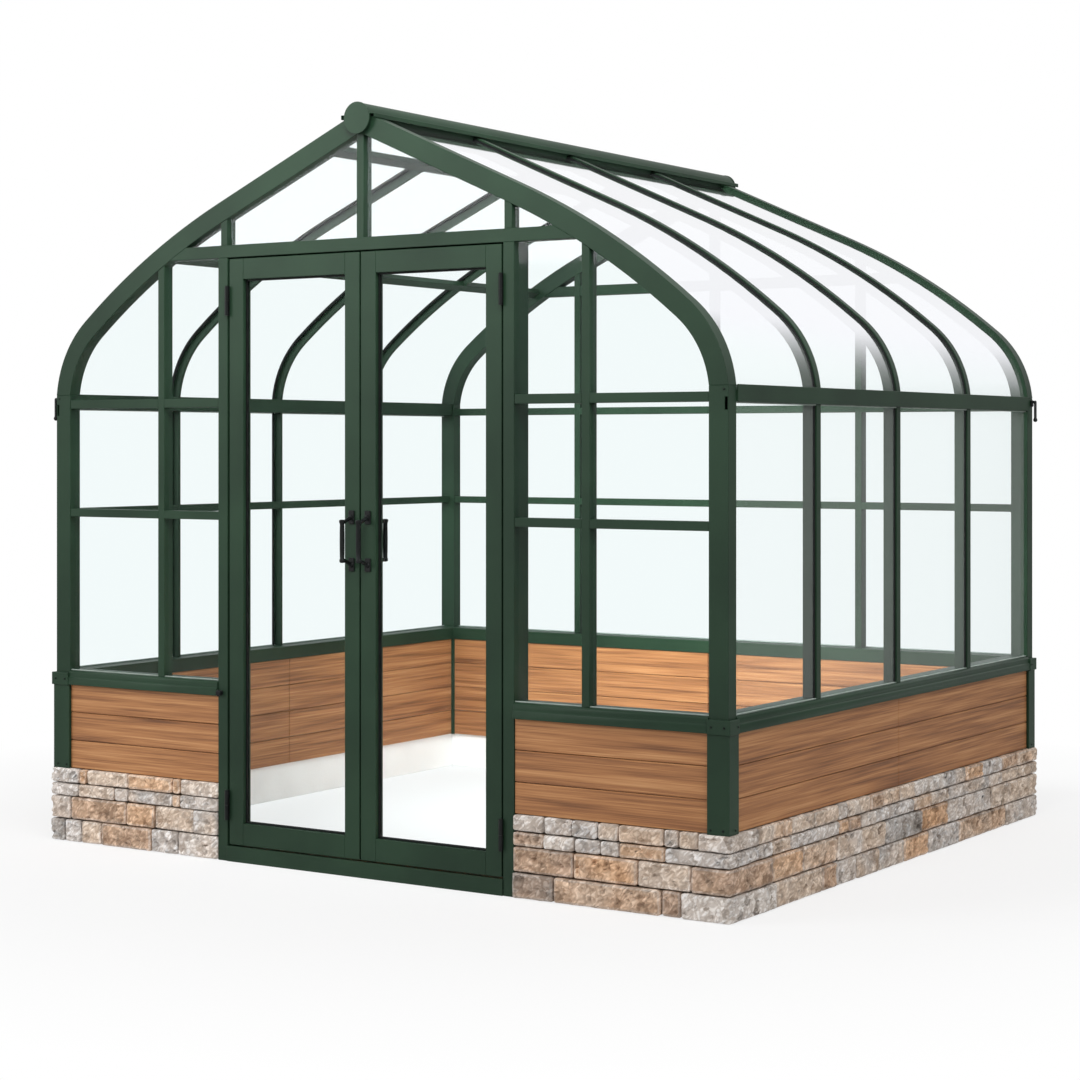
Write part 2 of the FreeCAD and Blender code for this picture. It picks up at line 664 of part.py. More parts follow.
front_rails = []
for bottom, top in ((MID_BOTTOM, MID_TOP), (EAVE_RAIL_BOTTOM, EAVE_RAIL_TOP)):
    front_rails.append(gable_rail(JAMB_OUTER, FRONT_STUD_X - STUD_FACE / 2, bottom, top))
    front_rails.append(gable_rail(FRONT_STUD_X + STUD_FACE / 2, POST_X, bottom, top))
save("front_rails", front_rails + [mirror_x(r) for r in front_rails])

jamb_inner = JAMB_OUTER - JAMB_FACE
jamb = tube(jamb_inner, JAMB_OUTER, -FRAME_Y, -FRAME_Y + JAMB_DEPTH, 0, HEADER_BOTTOM, "z")
jamb_stop = block(jamb_inner - STOP_SIZE, jamb_inner, stop_front, stop_front + STOP_SIZE, THRESHOLD_TOP, HEADER_BOTTOM)
jamb = fused([jamb, jamb_stop])
save("door_jambs", [jamb, mirror_x(jamb)])

header = tube(-FRAME_X, FRAME_X, -FRAME_Y, -POST_Y, HEADER_BOTTOM, HEADER_TOP, "x").common(both_space)
header_stop = block(-jamb_inner + STOP_SIZE, jamb_inner - STOP_SIZE, stop_front, -POST_Y,
                    HEADER_BOTTOM - STOP_SIZE, HEADER_BOTTOM)
save("door_header", [fused([header, header_stop])])

THRESHOLD_FRONT = 4.0
threshold = tube(-jamb_inner, jamb_inner, -FRAME_Y - THRESHOLD_FRONT, -FRAME_Y + JAMB_DEPTH, 0, THRESHOLD_TOP, "x")
save("threshold", [threshold])

# Rear gable: studs from sill to arch, and rails between them


def rear(shape):
    return mirror_y(shape)


rear_marks = [-POST_X, -REAR_STUD_X, 0.0, REAR_STUD_X, POST_X]
rear_stud = gable_stud(REAR_STUD_X, SILL_TOP)
save("rear_studs", [rear(rear_stud), rear(mirror_x(rear_stud)), rear(gable_stud(0.0, SILL_TOP))])


def rear_gaps():
    gaps = []
    for a, b in zip(rear_marks[:-1], rear_marks[1:]):
        left = a if a == -POST_X else a + STUD_FACE / 2
        right = b if b == POST_X else b - STUD_FACE / 2
        gaps.append((left, right))
    return gaps


rear_rails = []
for bottom, top in ((MID_BOTTOM, MID_TOP), (EAVE_RAIL_BOTTOM, EAVE_RAIL_TOP), (HEADER_BOTTOM, HEADER_TOP)):
    for left, right in rear_gaps():
        rear_rails.append(rear(gable_rail(left, right, bottom, top).common(both_space)))
save("rear_rails", rear_rails)

# Middle rail of the left wall between its bars



def wall_rail(y0, y1):
    # outer part between the bar caps, inner part between their stems
    cap_lap = (BAR_FACE - BAR_STEM) / 2
    front = block(-FRAME_X + BAR_CAP_SET, -FRAME_X + CAP_BACK, y0 + cap_lap, y1 - cap_lap, MID_BOTTOM, MID_TOP)
    back = block(-FRAME_X + CAP_BACK, -FRAME_X + LEFT_BAR_DEPTH, y0, y1, MID_BOTTOM, MID_TOP)
    return fused([front, back])


save("left_wall_rails", [wall_rail(y0, y1) for y0, y1 in bays])

# Clear glazing sheets, curved over the roof and flat in the walls

PANE_IN = PANE_SET + PANE_THICK
PANE_DIP = 1570.0
PANE_RIDGE_GAP = 2.0
edge_gap = BAR_STEM / 2 + PANE_EASE
sheet_marks = [-POST_Y + PANE_EASE - edge_gap] + BAR_YS + [POST_Y - PANE_EASE + edge_gap]
sheet_gaps = [(a + edge_gap, b - edge_gap) for a, b in zip(sheet_marks[:-1], sheet_marks[1:])]
pane_ridge = ridge_core(RIDGE_RADIUS + PANE_RIDGE_GAP)


def roof_pane(y0, y1):
    return above(roof_band(PANE_SET, PANE_IN, y0, y1).cut(pane_ridge), PANE_DIP)


def side_pane(y0, y1, z0, z1):
    return block(FRAME_X - PANE_IN, FRAME_X - PANE_SET, y0, y1, z0 + PANE_EASE, z1 - PANE_EASE)


roof_panes = [roof_pane(a, b) for a, b in sheet_gaps]
save("roof_panes_right", roof_panes)
save("roof_panes_left", [mirror_x(p) for p in roof_panes])
save("wall_panes_right", [side_pane(a, b, SILL_TOP, EAVE_RAIL_BOTTOM) for a, b in sheet_gaps])
left_panes = []
for a, b in sheet_gaps:
    left_panes.append(mirror_x(side_pane(a, b, SILL_TOP, MID_BOTTOM)))
    left_panes.append(mirror_x(side_pane(a, b, MID_TOP, EAVE_RAIL_BOTTOM)))
save("wall_panes_left", left_panes)

pane_space = under_roof(POST_FACE + PANE_EASE, -FRAME_Y, -POST_Y).cut(ridge_core(RIDGE_RADIUS + PANE_RIDGE_GAP))


def gable_pane(x0, x1, z0, z1):
    sheet = block(x0 + PANE_EASE, x1 - PANE_EASE, -FRAME_Y + PANE_SET, -FRAME_Y + PANE_IN, z0 + PANE_EASE, z1 - PANE_EASE)
    return sheet.common(pane_space)


def stud_edges(x):
    return x - STUD_FACE / 2, x + STUD_FACE / 2


wall_rows = ((SILL_TOP, MID_BOTTOM), (MID_TOP, EAVE_RAIL_BOTTOM), (EAVE_RAIL_TOP, HEADER_BOTTOM))
front_columns = ((JAMB_OUTER, stud_edges(FRONT_STUD_X)[0]), (stud_edges(FRONT_STUD_X)[1], POST_X))
front_panes = [gable_pane(x0, x1, z0, z1) for x0, x1 in front_columns for z0, z1 in wall_rows]
front_panes.append(gable_pane(STUD_FACE / 2, stud_edges(SHORT_STUD_X)[0], HEADER_TOP, RIDGE_AXIS))
front_panes.append(gable_pane(stud_edges(SHORT_STUD_X)[1], FRAME_X, HEADER_TOP, RIDGE_AXIS))
save("gable_panes_front", front_panes + [mirror_x(p) for p in front_panes])

rear_columns = ((STUD_FACE / 2, stud_edges(REAR_STUD_X)[0]), (stud_edges(REAR_STUD_X)[1], POST_X))
rear_panes = [gable_pane(x0, x1, z0, z1) for x0, x1 in rear_columns for z0, z1 in wall_rows]
rear_panes += [gable_pane(x0, x1, HEADER_TOP, RIDGE_AXIS) for x0, x1 in rear_columns]
rear_panes = [rear(p) for p in rear_panes]
save("gable_panes_rear", rear_panes + [mirror_x(p) for p in rear_panes])

# Door leaves, right leaf modelled and mirrored

SEAL_FACE = 6.0
SEAL_THICK = 4.0
ROSETTE_WIDTH = 24.0
ROSETTE_HEIGHT = 44.0
ROSETTE_THICK = 6.0
GRIP_RADIUS = 8.0
GRIP_SIDES = 10
GRIP_HALF = 64.0
GRIP_STANDOFF = 52.0
ARM_RADIUS = 6.0
ROSETTE_SPREAD = 77.0
HINGE_PLATE = 2.0
HINGE_REACH = 36.0
KNUCKLE_SIDES = 12
KNUCKLE_GAP = 0.5
KNUCKLE_CAP = 4.0
PIN_SHORT = 6.0

glass_x0 = LEAF_INNER + STILE
glass_x1 = LEAF_OUTER - STILE
glass_z0 = LEAF_BOTTOM + BOTTOM_RAIL
glass_z1 = LEAF_TOP - TOP_RAIL
leaf_middle = (leaf_front + leaf_back) / 2


def leaf_frame():
    return [
        tube(LEAF_INNER, glass_x0, leaf_front, leaf_back, LEAF_BOTTOM, LEAF_TOP, "z"),
        tube(glass_x1, LEAF_OUTER, leaf_front, leaf_back, LEAF_BOTTOM, LEAF_TOP, "z"),
        tube(glass_x0, glass_x1, leaf_front, leaf_back, LEAF_BOTTOM, glass_z0, "x"),
        tube(glass_x0, glass_x1, leaf_front, leaf_back, glass_z1, LEAF_TOP, "x"),
    ]


def leaf_pane():
    return block(glass_x0 + PANE_EASE, glass_x1 - PANE_EASE, leaf_middle - PANE_THICK / 2,
                 leaf_middle + PANE_THICK / 2, glass_z0 + PANE_EASE, glass_z1 - PANE_EASE)


def leaf_seals():
    seals = []
    for y in (leaf_middle - PANE_THICK / 2 - SEAL_THICK, leaf_middle + PANE_THICK / 2):
        ring = block(glass_x0, glass_x1, y, y + SEAL_THICK, glass_z0, glass_z1)
        seals.append(ring.cut(block(glass_x0 + SEAL_FACE, glass_x1 - SEAL_FACE, y, y + SEAL_THICK,
                                    glass_z0 + SEAL_FACE, glass_z1 - SEAL_FACE)))
    return seals


def pull_handle(y, out):
    # straight grip on two arms that lean inward from their rosettes
    x = LEAF_INNER + STILE / 2
    half = ROSETTE_WIDTH / 2
    grip_y = y + out * GRIP_STANDOFF
    pieces = [rod(V(x, grip_y, HANDLE_LEVEL - GRIP_HALF), V(x, grip_y, HANDLE_LEVEL + GRIP_HALF),
                  GRIP_RADIUS, GRIP_SIDES)]
    for s in (-1, 1):
        middle = HANDLE_LEVEL + s * ROSETTE_SPREAD
        pieces.append(block(x - half, x + half, y, y + out * ROSETTE_THICK,
                            middle - ROSETTE_HEIGHT / 2, middle + ROSETTE_HEIGHT / 2))
        knee = V(x, grip_y, HANDLE_LEVEL + s * (GRIP_HALF - ARM_RADIUS))
        root = V(x, y + out * ROSETTE_THICK / 2, middle)
        pieces.append(rod(root, knee, ARM_RADIUS, GRIP_SIDES))
    return fused(pieces)


def leaf_handles():
    return [pull_handle(leaf_front, -1), pull_handle(leaf_back, 1)]


pin_y = -FRAME_Y - PIN_PROUD


def pin_rod(z0, z1, radius, sides=0):
    return rod(V(PIN_X, pin_y, z0), V(PIN_X, pin_y, z1), radius, sides)


def fixed_hinge(level):
    # plate on the jamb inside the door gap, the lower knuckle and the pin that stands on it
    z0 = level - HINGE_HEIGHT / 2
    z1 = level + HINGE_HEIGHT / 2
    x0 = jamb_inner - HINGE_PLATE
    plate = block(x0, jamb_inner, -FRAME_Y, -FRAME_Y + HINGE_REACH, z0, z1)
    tab = block(x0, jamb_inner, pin_y, -FRAME_Y, z0, level)
    barrel = pin_rod(z0, level, KNUCKLE_RADIUS, KNUCKLE_SIDES)
    pin = pin_rod(level, z1 - PIN_SHORT, PIN_RADIUS)
    return fused([plate, tab, barrel, pin])


def moving_hinge(level):
    # plate on the edge of the leaf and the upper knuckle that drops over the pin
    z0 = level - HINGE_HEIGHT / 2
    z1 = level + HINGE_HEIGHT / 2
    a = level + KNUCKLE_GAP
    x1 = LEAF_OUTER + HINGE_PLATE
    plate = block(LEAF_OUTER, x1, leaf_front, leaf_front + HINGE_REACH, z0, z1)
    tab = block(LEAF_OUTER, x1, pin_y, leaf_front, a, z1)
    barrel = pin_rod(a, z1, KNUCKLE_RADIUS, KNUCKLE_SIDES)
    bore = pin_rod(a, z1 - KNUCKLE_CAP, PIN_RADIUS + PIN_CLEARANCE)
    return fused([plate, tab, barrel]).cut(bore)


leaf_pieces = (("frame", leaf_frame()), ("pane", [leaf_pane()]), ("seals", leaf_seals()),
               ("handles", leaf_handles()), ("hinges", [moving_hinge(level) for level in HINGE_LEVELS]))
for name, shapes in leaf_pieces:
    save("right_leaf_" + name, shapes)
    save("left_leaf_" + name, [mirror_x(s) for s in shapes])

fixed_hinges = [fixed_hinge(level) for level in HINGE_LEVELS]
save("hinge_plates", fixed_hinges + [mirror_x(h) for h in fixed_hinges])
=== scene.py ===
import json
import math
import random

import bmesh
import bpy
from mathutils import Matrix, Vector, noise


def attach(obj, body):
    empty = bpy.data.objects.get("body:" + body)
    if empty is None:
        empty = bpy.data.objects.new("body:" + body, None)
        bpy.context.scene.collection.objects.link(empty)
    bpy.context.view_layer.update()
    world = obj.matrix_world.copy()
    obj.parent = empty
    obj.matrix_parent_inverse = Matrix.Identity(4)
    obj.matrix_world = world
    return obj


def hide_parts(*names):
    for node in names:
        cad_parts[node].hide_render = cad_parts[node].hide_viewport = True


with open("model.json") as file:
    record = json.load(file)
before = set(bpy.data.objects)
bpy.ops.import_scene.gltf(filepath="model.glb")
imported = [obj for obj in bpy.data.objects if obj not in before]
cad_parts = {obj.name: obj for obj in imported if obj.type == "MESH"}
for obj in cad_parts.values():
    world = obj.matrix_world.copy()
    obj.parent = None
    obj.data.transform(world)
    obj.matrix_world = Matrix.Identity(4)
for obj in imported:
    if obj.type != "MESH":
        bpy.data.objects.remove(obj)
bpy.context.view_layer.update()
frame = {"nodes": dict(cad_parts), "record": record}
nodes = frame["nodes"]
record = frame["record"]
body_of = {node: body for body, members in record["behaviour"]["bodies"].items() for node in members}
slot_of = {part["node"]: part["material_slot"] for part in record["subparts"]}
scene = bpy.context.scene
MM = 0.001
# vector noise draws its offsets from this seed, so that every run splits the stones the same way
noise.seed_set(11)

# Dimensions in mm that the small pieces share with the frame
FRAME_X, FRAME_Y = 1356.5, 1204.0
POST_X, POST_Y = 1290.5, 1154.0
SILL_TOP, GUTTER_FOOT = 605.0, 1532.0
PANE_SET = 14.0
BAR_YS, BAR_FACE = (-602.0, 0.0, 602.0), 30.0
JAMB_OUTER = 602.0
LEAF_FACE, LEAF_BACK = -1202.0, -1162.0
HANDLE_LEVEL, HANDLE_X = 1092.0, 33.0


# Nodes and meshes

def linear(colour):
    parts = [int(colour[i:i + 2], 16) / 255 for i in (1, 3, 5)]
    return [p / 12.92 if p <= 0.04045 else ((p + 0.055) / 1.055) ** 2.4 for p in parts] + [1.0]


def add(tree, kind, settings=None, inputs=None):
    # one node with its settings, values and links
    node = tree.nodes.new(kind)
    for key, value in (settings or {}).items():
        if key == "stops":
            ramp = node.color_ramp
            while len(ramp.elements) < len(value):
                ramp.elements.new(0.5)
            for element, (at, colour) in zip(ramp.elements, value):
                element.position = at
                element.color = linear(colour)
        else:
            setattr(node, key, value)
    for key, value in (inputs or {}).items():
        for one in value if isinstance(value, list) and isinstance(value[0], bpy.types.NodeSocket) else [value]:
            if isinstance(one, bpy.types.NodeSocket):
                tree.links.new(one, node.inputs[key])
            else:
                node.inputs[key].default_value = one
    return node


def start_material(name):
    made = bpy.data.materials.new(name)
    made.use_nodes = True
    made.node_tree.nodes.clear()
    place = add(made.node_tree, "ShaderNodeTexCoord").outputs["Object"]
    return made, made.node_tree, place


def show(tree, shader):
    add(tree, "ShaderNodeOutputMaterial", inputs={"Surface": shader.outputs[0]})


def set_piece(name, mesh, finish, body, slot, *stands_for):
    # a finished mesh becomes a piece that rides on its body
    piece = bpy.data.objects.new(name, mesh)
    scene.collection.objects.link(piece)
    for one in finish if isinstance(finish, tuple) else (finish,):
        mesh.materials.append(one)
    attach(piece, body)
    if stands_for:
        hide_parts(*stands_for)
    return piece


def soft_edges(mesh, degrees=35.0):
    mesh.shade_smooth()
    mesh.set_sharp_from_angle(angle=math.radians(degrees))


def solids(node):
    # a node's loose triangles, sorted into its separate solids
    mesh = nodes[node].data
    spot = [tuple(round(c, 5) for c in v.co) for v in mesh.vertices]
    triangles = [[spot[i] for i in face.vertices] for face in mesh.polygons]
    parent = list(range(len(triangles)))

    def root(i):
        while parent[i] != i:
            parent[i] = parent[parent[i]]
            i = parent[i]
        return i

    edges = {}
    for i, corners in enumerate(triangles):
        for a, b in zip(corners, corners[1:] + corners[:1]):
            edges.setdefault((min(a, b), max(a, b)), []).append(i)
    for sharing in edges.values():
        if len(sharing) == 2:
            parent[root(sharing[0])] = root(sharing[1])
    groups = {}
    for i, corners in enumerate(triangles):
        groups.setdefault(root(i), []).append(corners)
    return list(groups.values())


def reach(solid):
    # lowest and highest corner of a solid, in mm
    spots = [p for corners in solid for p in corners]
    return ([min(p[i] for p in spots) / MM for i in range(3)], [max(p[i] for p in spots) / MM for i in range(3)])


def eased_solid(solid, ease):
    # one closed solid with flat faces joined and its outer edges taken off by a small chamfer
    bm = bmesh.new()
    made = {}
    for corners in solid:
        for p in corners:
            if p not in made:
                made[p] = bm.verts.new(p)
        if len(set(corners)) == 3 and not bm.faces.get([made[p] for p in corners]):
            bm.faces.new([made[p] for p in corners])
    bmesh.ops.dissolve_limit(bm, angle_limit=0.0035, verts=bm.verts, edges=bm.edges)
    if ease:
        sharp = [e for e in bm.edges if len(e.link_faces) == 2 and e.is_convex
                 and e.calc_face_angle(0.0) > math.radians(35)]
        bmesh.ops.bevel(bm, geom=sharp, offset=ease * MM, offset_type="OFFSET", segments=1, profile=0.5,
                        affect="EDGES", clamp_overlap=True)
    return bm


def joined(parts, name):
    # separate solids as one mesh
    whole = bmesh.new()
    for bm in parts:
        part = bpy.data.meshes.new("part")
        bm.to_mesh(part)
        bm.free()
        whole.from_mesh(part)
        bpy.data.meshes.remove(part)
    mesh = bpy.data.meshes.new(name)
    whole.to_mesh(mesh)
    whole.free()
    soft_edges(mesh)
    return mesh


def eased_node(node, ease):
    return joined([eased_solid(solid, ease) for solid in solids(node)], node + "_made")


def bar(bm, low, high, ease):
    # a straight strip or plate with chamfered edges, corners in mm
    middle = [(a + b) / 2 * MM for a, b in zip(low, high)]
    size = [abs(b - a) * MM for a, b in zip(low, high)]
    made = bmesh.ops.create_cube(bm, size=1.0, matrix=Matrix.Translation(middle) @ Matrix.Diagonal((*size, 1.0)))
    edges = dict.fromkeys(e for v in made["verts"] for e in v.link_edges)
    bmesh.ops.bevel(bm, geom=list(edges), offset=ease * MM, offset_type="OFFSET", segments=1, profile=0.5,
                    affect="EDGES", clamp_overlap=True)


def turned(bm, foot, axis, profile, steps=24):
    # a lathe-turned shape: profile is (distance along the axis, radius) from one pole to the other, in mm
    axis = Vector(axis).normalized()
    across = axis.orthogonal().normalized()
    other = axis.cross(across)
    foot = Vector(foot)
    rings = []
    for along, radius in profile:
        centre = foot + axis * along
        if radius == 0:
            rings.append([bm.verts.new(centre * MM)])
            continue
        turns = [2 * math.pi * k / steps for k in range(steps)]
        rings.append([bm.verts.new((centre + (across * math.cos(t) + other * math.sin(t)) * radius) * MM)
                      for t in turns])
    for lower, upper in zip(rings[:-1], rings[1:]):
        for k in range(steps):
            n = (k + 1) % steps
            if len(lower) == 1:
                bm.faces.new((lower[0], upper[n], upper[k]))
            elif len(upper) == 1:
                bm.faces.new((lower[k], lower[n], upper[0]))
            else:
                bm.faces.new((lower[k], lower[n], upper[n], upper[k]))


def mesh_of(bm, name, degrees=35.0):
    bmesh.ops.recalc_face_normals(bm, faces=bm.faces)
    mesh = bpy.data.meshes.new(name)
    bm.to_mesh(mesh)
    bm.free()
    soft_edges(mesh, degrees)
    return mesh


# Finishes

def powder_coated_aluminium():
    # Extruded aluminium under a baked dark green powder coat: an even satin skin with a faint orange-peel texture,
    # a slow drift of tone along each length
    made, tree, place = start_material("powder_coated_aluminium")
    drift = add(tree, "ShaderNodeTexNoise", inputs={"Vector": place, "Scale": 1 / 0.35, "Detail": 3.0})
    tone = add(tree, "ShaderNodeValToRGB", {"stops": ((0.32, "#1B2F21"), (0.68, "#243B2A"))},
               {"Fac": drift.outputs["Fac"]})
    # orange peel is about 1.5 mm on the real coat and is drawn at 6 mm so that it shows
    peel = add(tree, "ShaderNodeTexNoise", inputs={"Vector": place, "Scale": 1 / 0.006, "Detail": 2.0})
    sheen = add(tree, "ShaderNodeMapRange", inputs={"Value": peel.outputs["Fac"], "To Min": 0.42, "To Max": 0.52})
    skin = add(tree, "ShaderNodeBump", inputs={"Height": peel.outputs["Fac"], "Strength": 0.12, "Distance": 0.0006})
    show(tree, add(tree, "ShaderNodeBsdfPrincipled", inputs={
        "Base Color": tone.outputs["Color"], "Roughness": sheen.outputs["Result"],
        "Specular IOR Level": 0.2, "Normal": skin.outputs["Normal"]}))
    return made


def clear_glazing():
    # Clear polished sheet with a faint cold tint: seen through when faced, with a thin haze and then
    # a white veil on its outside as the view glances
    made, tree, place = start_material("clear_polished_glazing")
    wave = add(tree, "ShaderNodeTexNoise", inputs={"Vector": place, "Scale": 1 / 0.5, "Detail": 1.0})
    skin = add(tree, "ShaderNodeBump", inputs={"Height": wave.outputs["Fac"], "Strength": 0.05, "Distance": 0.01})
    gloss = add(tree, "ShaderNodeBsdfPrincipled", inputs={
        "Base Color": linear("#F7F8FD"), "Metallic": 1.0, "Roughness": 0.04, "Normal": skin.outputs["Normal"]})
    clear = add(tree, "ShaderNodeBsdfTransparent", inputs={"Color": linear("#FCFEFE")})
    film = add(tree, "ShaderNodeBsdfPrincipled", inputs={
        "Base Color": linear("#FFFFFF"), "Roughness": 0.8, "Specular IOR Level": 0.0})
    facing = add(tree, "ShaderNodeLayerWeight", inputs={"Blend": 0.5}).outputs["Facing"]
    # the outside of a sheet turns away from the middle of the house; light leaves a sheet without a second mirror
    shape = add(tree, "ShaderNodeNewGeometry")
    away = add(tree, "ShaderNodeVectorMath", {"operation": "SUBTRACT"}, {0: place, 1: (0.0, 0.0, 1.2)}).outputs[0]
    turned_out = add(tree, "ShaderNodeVectorMath", {"operation": "DOT_PRODUCT"}, {
        0: away, 1: shape.outputs["Normal"]}).outputs["Value"]
    outside = add(tree, "ShaderNodeMath", {"operation": "GREATER_THAN"}, {0: turned_out, 1: 0.0}).outputs[0]
    entering = add(tree, "ShaderNodeMath", {"operation": "SUBTRACT", "use_clamp": True}, {
        0: outside, 1: shape.outputs["Backfacing"]}).outputs[0]
    # sheets that lie back towards the sky veil sooner than the upright ones
    lift = add(tree, "ShaderNodeSeparateXYZ", inputs={"Vector": shape.outputs["Normal"]}).outputs["Z"]
    laid = add(tree, "ShaderNodeMath", {"operation": "MULTIPLY_ADD"}, {0: lift, 1: 0.2, 2: facing}).outputs[0]
    # what covers the clear sheet, what it follows, where it starts and is full, its least and most share
    covers = ((film, facing, 0.40, 0.62, 0.0, 0.13), (gloss, laid, 0.6, 0.87, 0.012, 0.92))
    body = clear
    for cover, value, low, high, least, most in covers:
        veil = add(tree, "ShaderNodeMapRange", {"interpolation_type": "SMOOTHSTEP"}, {
            "Value": value, "From Min": low, "From Max": high, "To Min": least, "To Max": most}).outputs["Result"]
        share = add(tree, "ShaderNodeMath", {"operation": "MULTIPLY"}, {0: veil, 1: entering}).outputs[0]
        body = add(tree, "ShaderNodeMixShader", inputs={0: share, 1: body.outputs[0], 2: cover.outputs[0]})
    show(tree, body)
    return made


def wood_look_cladding():
    # Extruded cladding boards with a printed, embossed timber grain: warm tan with brown streaks along the board
    made, tree, place = start_material("wood_look_cladding")
    board = add(tree, "ShaderNodeUVMap", {"uv_map": "board"}).outputs["UV"]
    layers = []
    for length, width, detail in ((0.85, 0.030, 2.0), (0.40, 0.008, 3.0), (0.22, 0.0024, 2.0)):
        run = add(tree, "ShaderNodeMapping", inputs={"Vector": board, "Scale": (1 / length, 1 / width, 1.0)})
        layers.append(add(tree, "ShaderNodeTexNoise", inputs={
            "Vector": run.outputs[0], "Scale": 1.0, "Detail": detail}).outputs["Fac"])
    streak = 0.0
    for layer, share in zip(layers, (0.40, 0.36, 0.24)):
        streak = add(tree, "ShaderNodeMath", {"operation": "MULTIPLY_ADD"}, {0: layer, 1: share, 2: streak}).outputs[0]
    tone = add(tree, "ShaderNodeValToRGB", {"stops": (
        (0.36, "#6A452C"), (0.45, "#8E5F3C"), (0.53, "#A9754A"), (0.63, "#C08E60"))}, {"Fac": streak})
    sheen = add(tree, "ShaderNodeMapRange", inputs={"Value": layers[2], "To Min": 0.5, "To Max": 0.68})
    skin = add(tree, "ShaderNodeBump", inputs={"Height": layers[2], "Strength": 0.25, "Distance": 0.0008})
    show(tree, add(tree, "ShaderNodeBsdfPrincipled", inputs={
        "Base Color": tone.outputs["Color"], "Roughness": sheen.outputs["Result"],
        "Specular IOR Level": 0.35, "Normal": skin.outputs["Normal"]}))
    return made


def split_stone():
    # Split and tumbled walling stone: each block has its own tones with painted light and shade on its facets,
    # painted shade in its flaked hollows, pale worn arrises that are partly a painted highlight, and a gritty skin
    made, tree, place = start_material("split_stone")
    tone = add(tree, "ShaderNodeAttribute", {"attribute_name": "tone"}).outputs["Color"]
    shift = add(tree, "ShaderNodeAttribute", {"attribute_name": "shift"}).outputs["Vector"]
    own = add(tree, "ShaderNodeVectorMath", {"operation": "ADD"}, {0: place, 1: shift}).outputs[0]
    wander = add(tree, "ShaderNodeTexNoise", inputs={
        "Vector": own, "Scale": 1 / 0.025, "Detail": 3.0}).outputs["Color"]
    bent = add(tree, "ShaderNodeVectorMath", {"operation": "MULTIPLY_ADD"}, {
        0: wander, 1: (0.022, 0.022, 0.022), 2: own}).outputs[0]
    normal = add(tree, "ShaderNodeNewGeometry").outputs["Normal"]
    # broad facets of 30 mm, each leaning its own way
    facet = add(tree, "ShaderNodeTexVoronoi", inputs={"Vector": bent, "Scale": 1 / 0.030}).outputs["Color"]
    tilt = add(tree, "ShaderNodeVectorMath", {"operation": "MULTIPLY_ADD"}, {
        0: facet, 1: (1.1, 1.1, 1.1), 2: (-0.55, -0.55, -0.55)}).outputs[0]
    normal = add(tree, "ShaderNodeVectorMath", {"operation": "ADD"}, {0: normal, 1: tilt}).outputs[0]
    normal = add(tree, "ShaderNodeVectorMath", {"operation": "NORMALIZE"}, {0: normal}).outputs[0]
    # chisel strokes that run up to the right on the front and on the right side: 40 mm long and 13 mm across
    along = add(tree, "ShaderNodeMapping", {"vector_type": "TEXTURE"}, {
        "Vector": own, "Rotation": (0.0, -0.6155, 0.7854), "Scale": (0.040, 0.013, 0.013)}).outputs["Vector"]
    cleft = add(tree, "ShaderNodeTexNoise", {"noise_type": "RIDGED_MULTIFRACTAL"}, {
        "Vector": along, "Scale": 1.0, "Detail": 4.0, "Roughness": 0.6, "Distortion": 0.4}).outputs["Fac"]
    grit = add(tree, "ShaderNodeTexNoise", inputs={"Vector": own, "Scale": 1 / 0.004, "Detail": 2.0}).outputs["Fac"]
    height = add(tree, "ShaderNodeMath", {"operation": "MULTIPLY_ADD"}, {0: grit, 1: 0.3, 2: cleft}).outputs[0]
    # each painted shade darkens the block's own tone by its share: a facet's tone is painted from the same random value
    # that tilts its normal, and the deepest hollows of the chisel strokes are painted darker
    for source, share, stops in (
            (facet, 0.65, ((0.1, "#B0A498"), (0.5, "#F5F2EF"), (0.9, "#FFFFFF"))),
            (cleft, 0.55, ((0.01, "#AC9C8D"), (0.12, "#F4F0EC"), (0.32, "#FFFFFF")))):
        shade = add(tree, "ShaderNodeValToRGB", {"stops": stops}, {"Fac": source})
        tone = add(tree, "ShaderNodeMix", {"data_type": "RGBA", "blend_type": "MULTIPLY"}, {
            0: share, 6: tone, 7: shade.outputs["Color"]}).outputs[2]
    skin = add(tree, "ShaderNodeBump", inputs={
        "Height": height, "Strength": 1.0, "Distance": 0.005, "Normal": normal})
    show(tree, add(tree, "ShaderNodeBsdfPrincipled", inputs={
        "Base Color": tone, "Roughness": 0.9, "Specular IOR Level": 0.2, "Normal": skin.outputs["Normal"]}))
    return made


def bare_mix(name, dark, light, grain, rough):
    # Cast concrete and bedding mortar: a dull, sandy skin with cloudy tone and open pores
    made, tree, place = start_material(name)
    cloud = add(tree, "ShaderNodeTexNoise", inputs={"Vector": place, "Scale": 1 / grain, "Detail": 5.0})
    tone = add(tree, "ShaderNodeValToRGB", {"stops": ((0.35, dark), (0.65, light))}, {"Fac": cloud.outputs["Fac"]})
    pores = add(tree, "ShaderNodeTexNoise", inputs={"Vector": place, "Scale": 1 / 0.008, "Detail": 2.0})
    skin = add(tree, "ShaderNodeBump", inputs={"Height": pores.outputs["Fac"], "Strength": 0.4, "Distance": 0.002})
    show(tree, add(tree, "ShaderNodeBsdfPrincipled", inputs={
        "Base Color": tone.outputs["Color"], "Roughness": rough, "Normal": skin.outputs["Normal"]}))
    return made


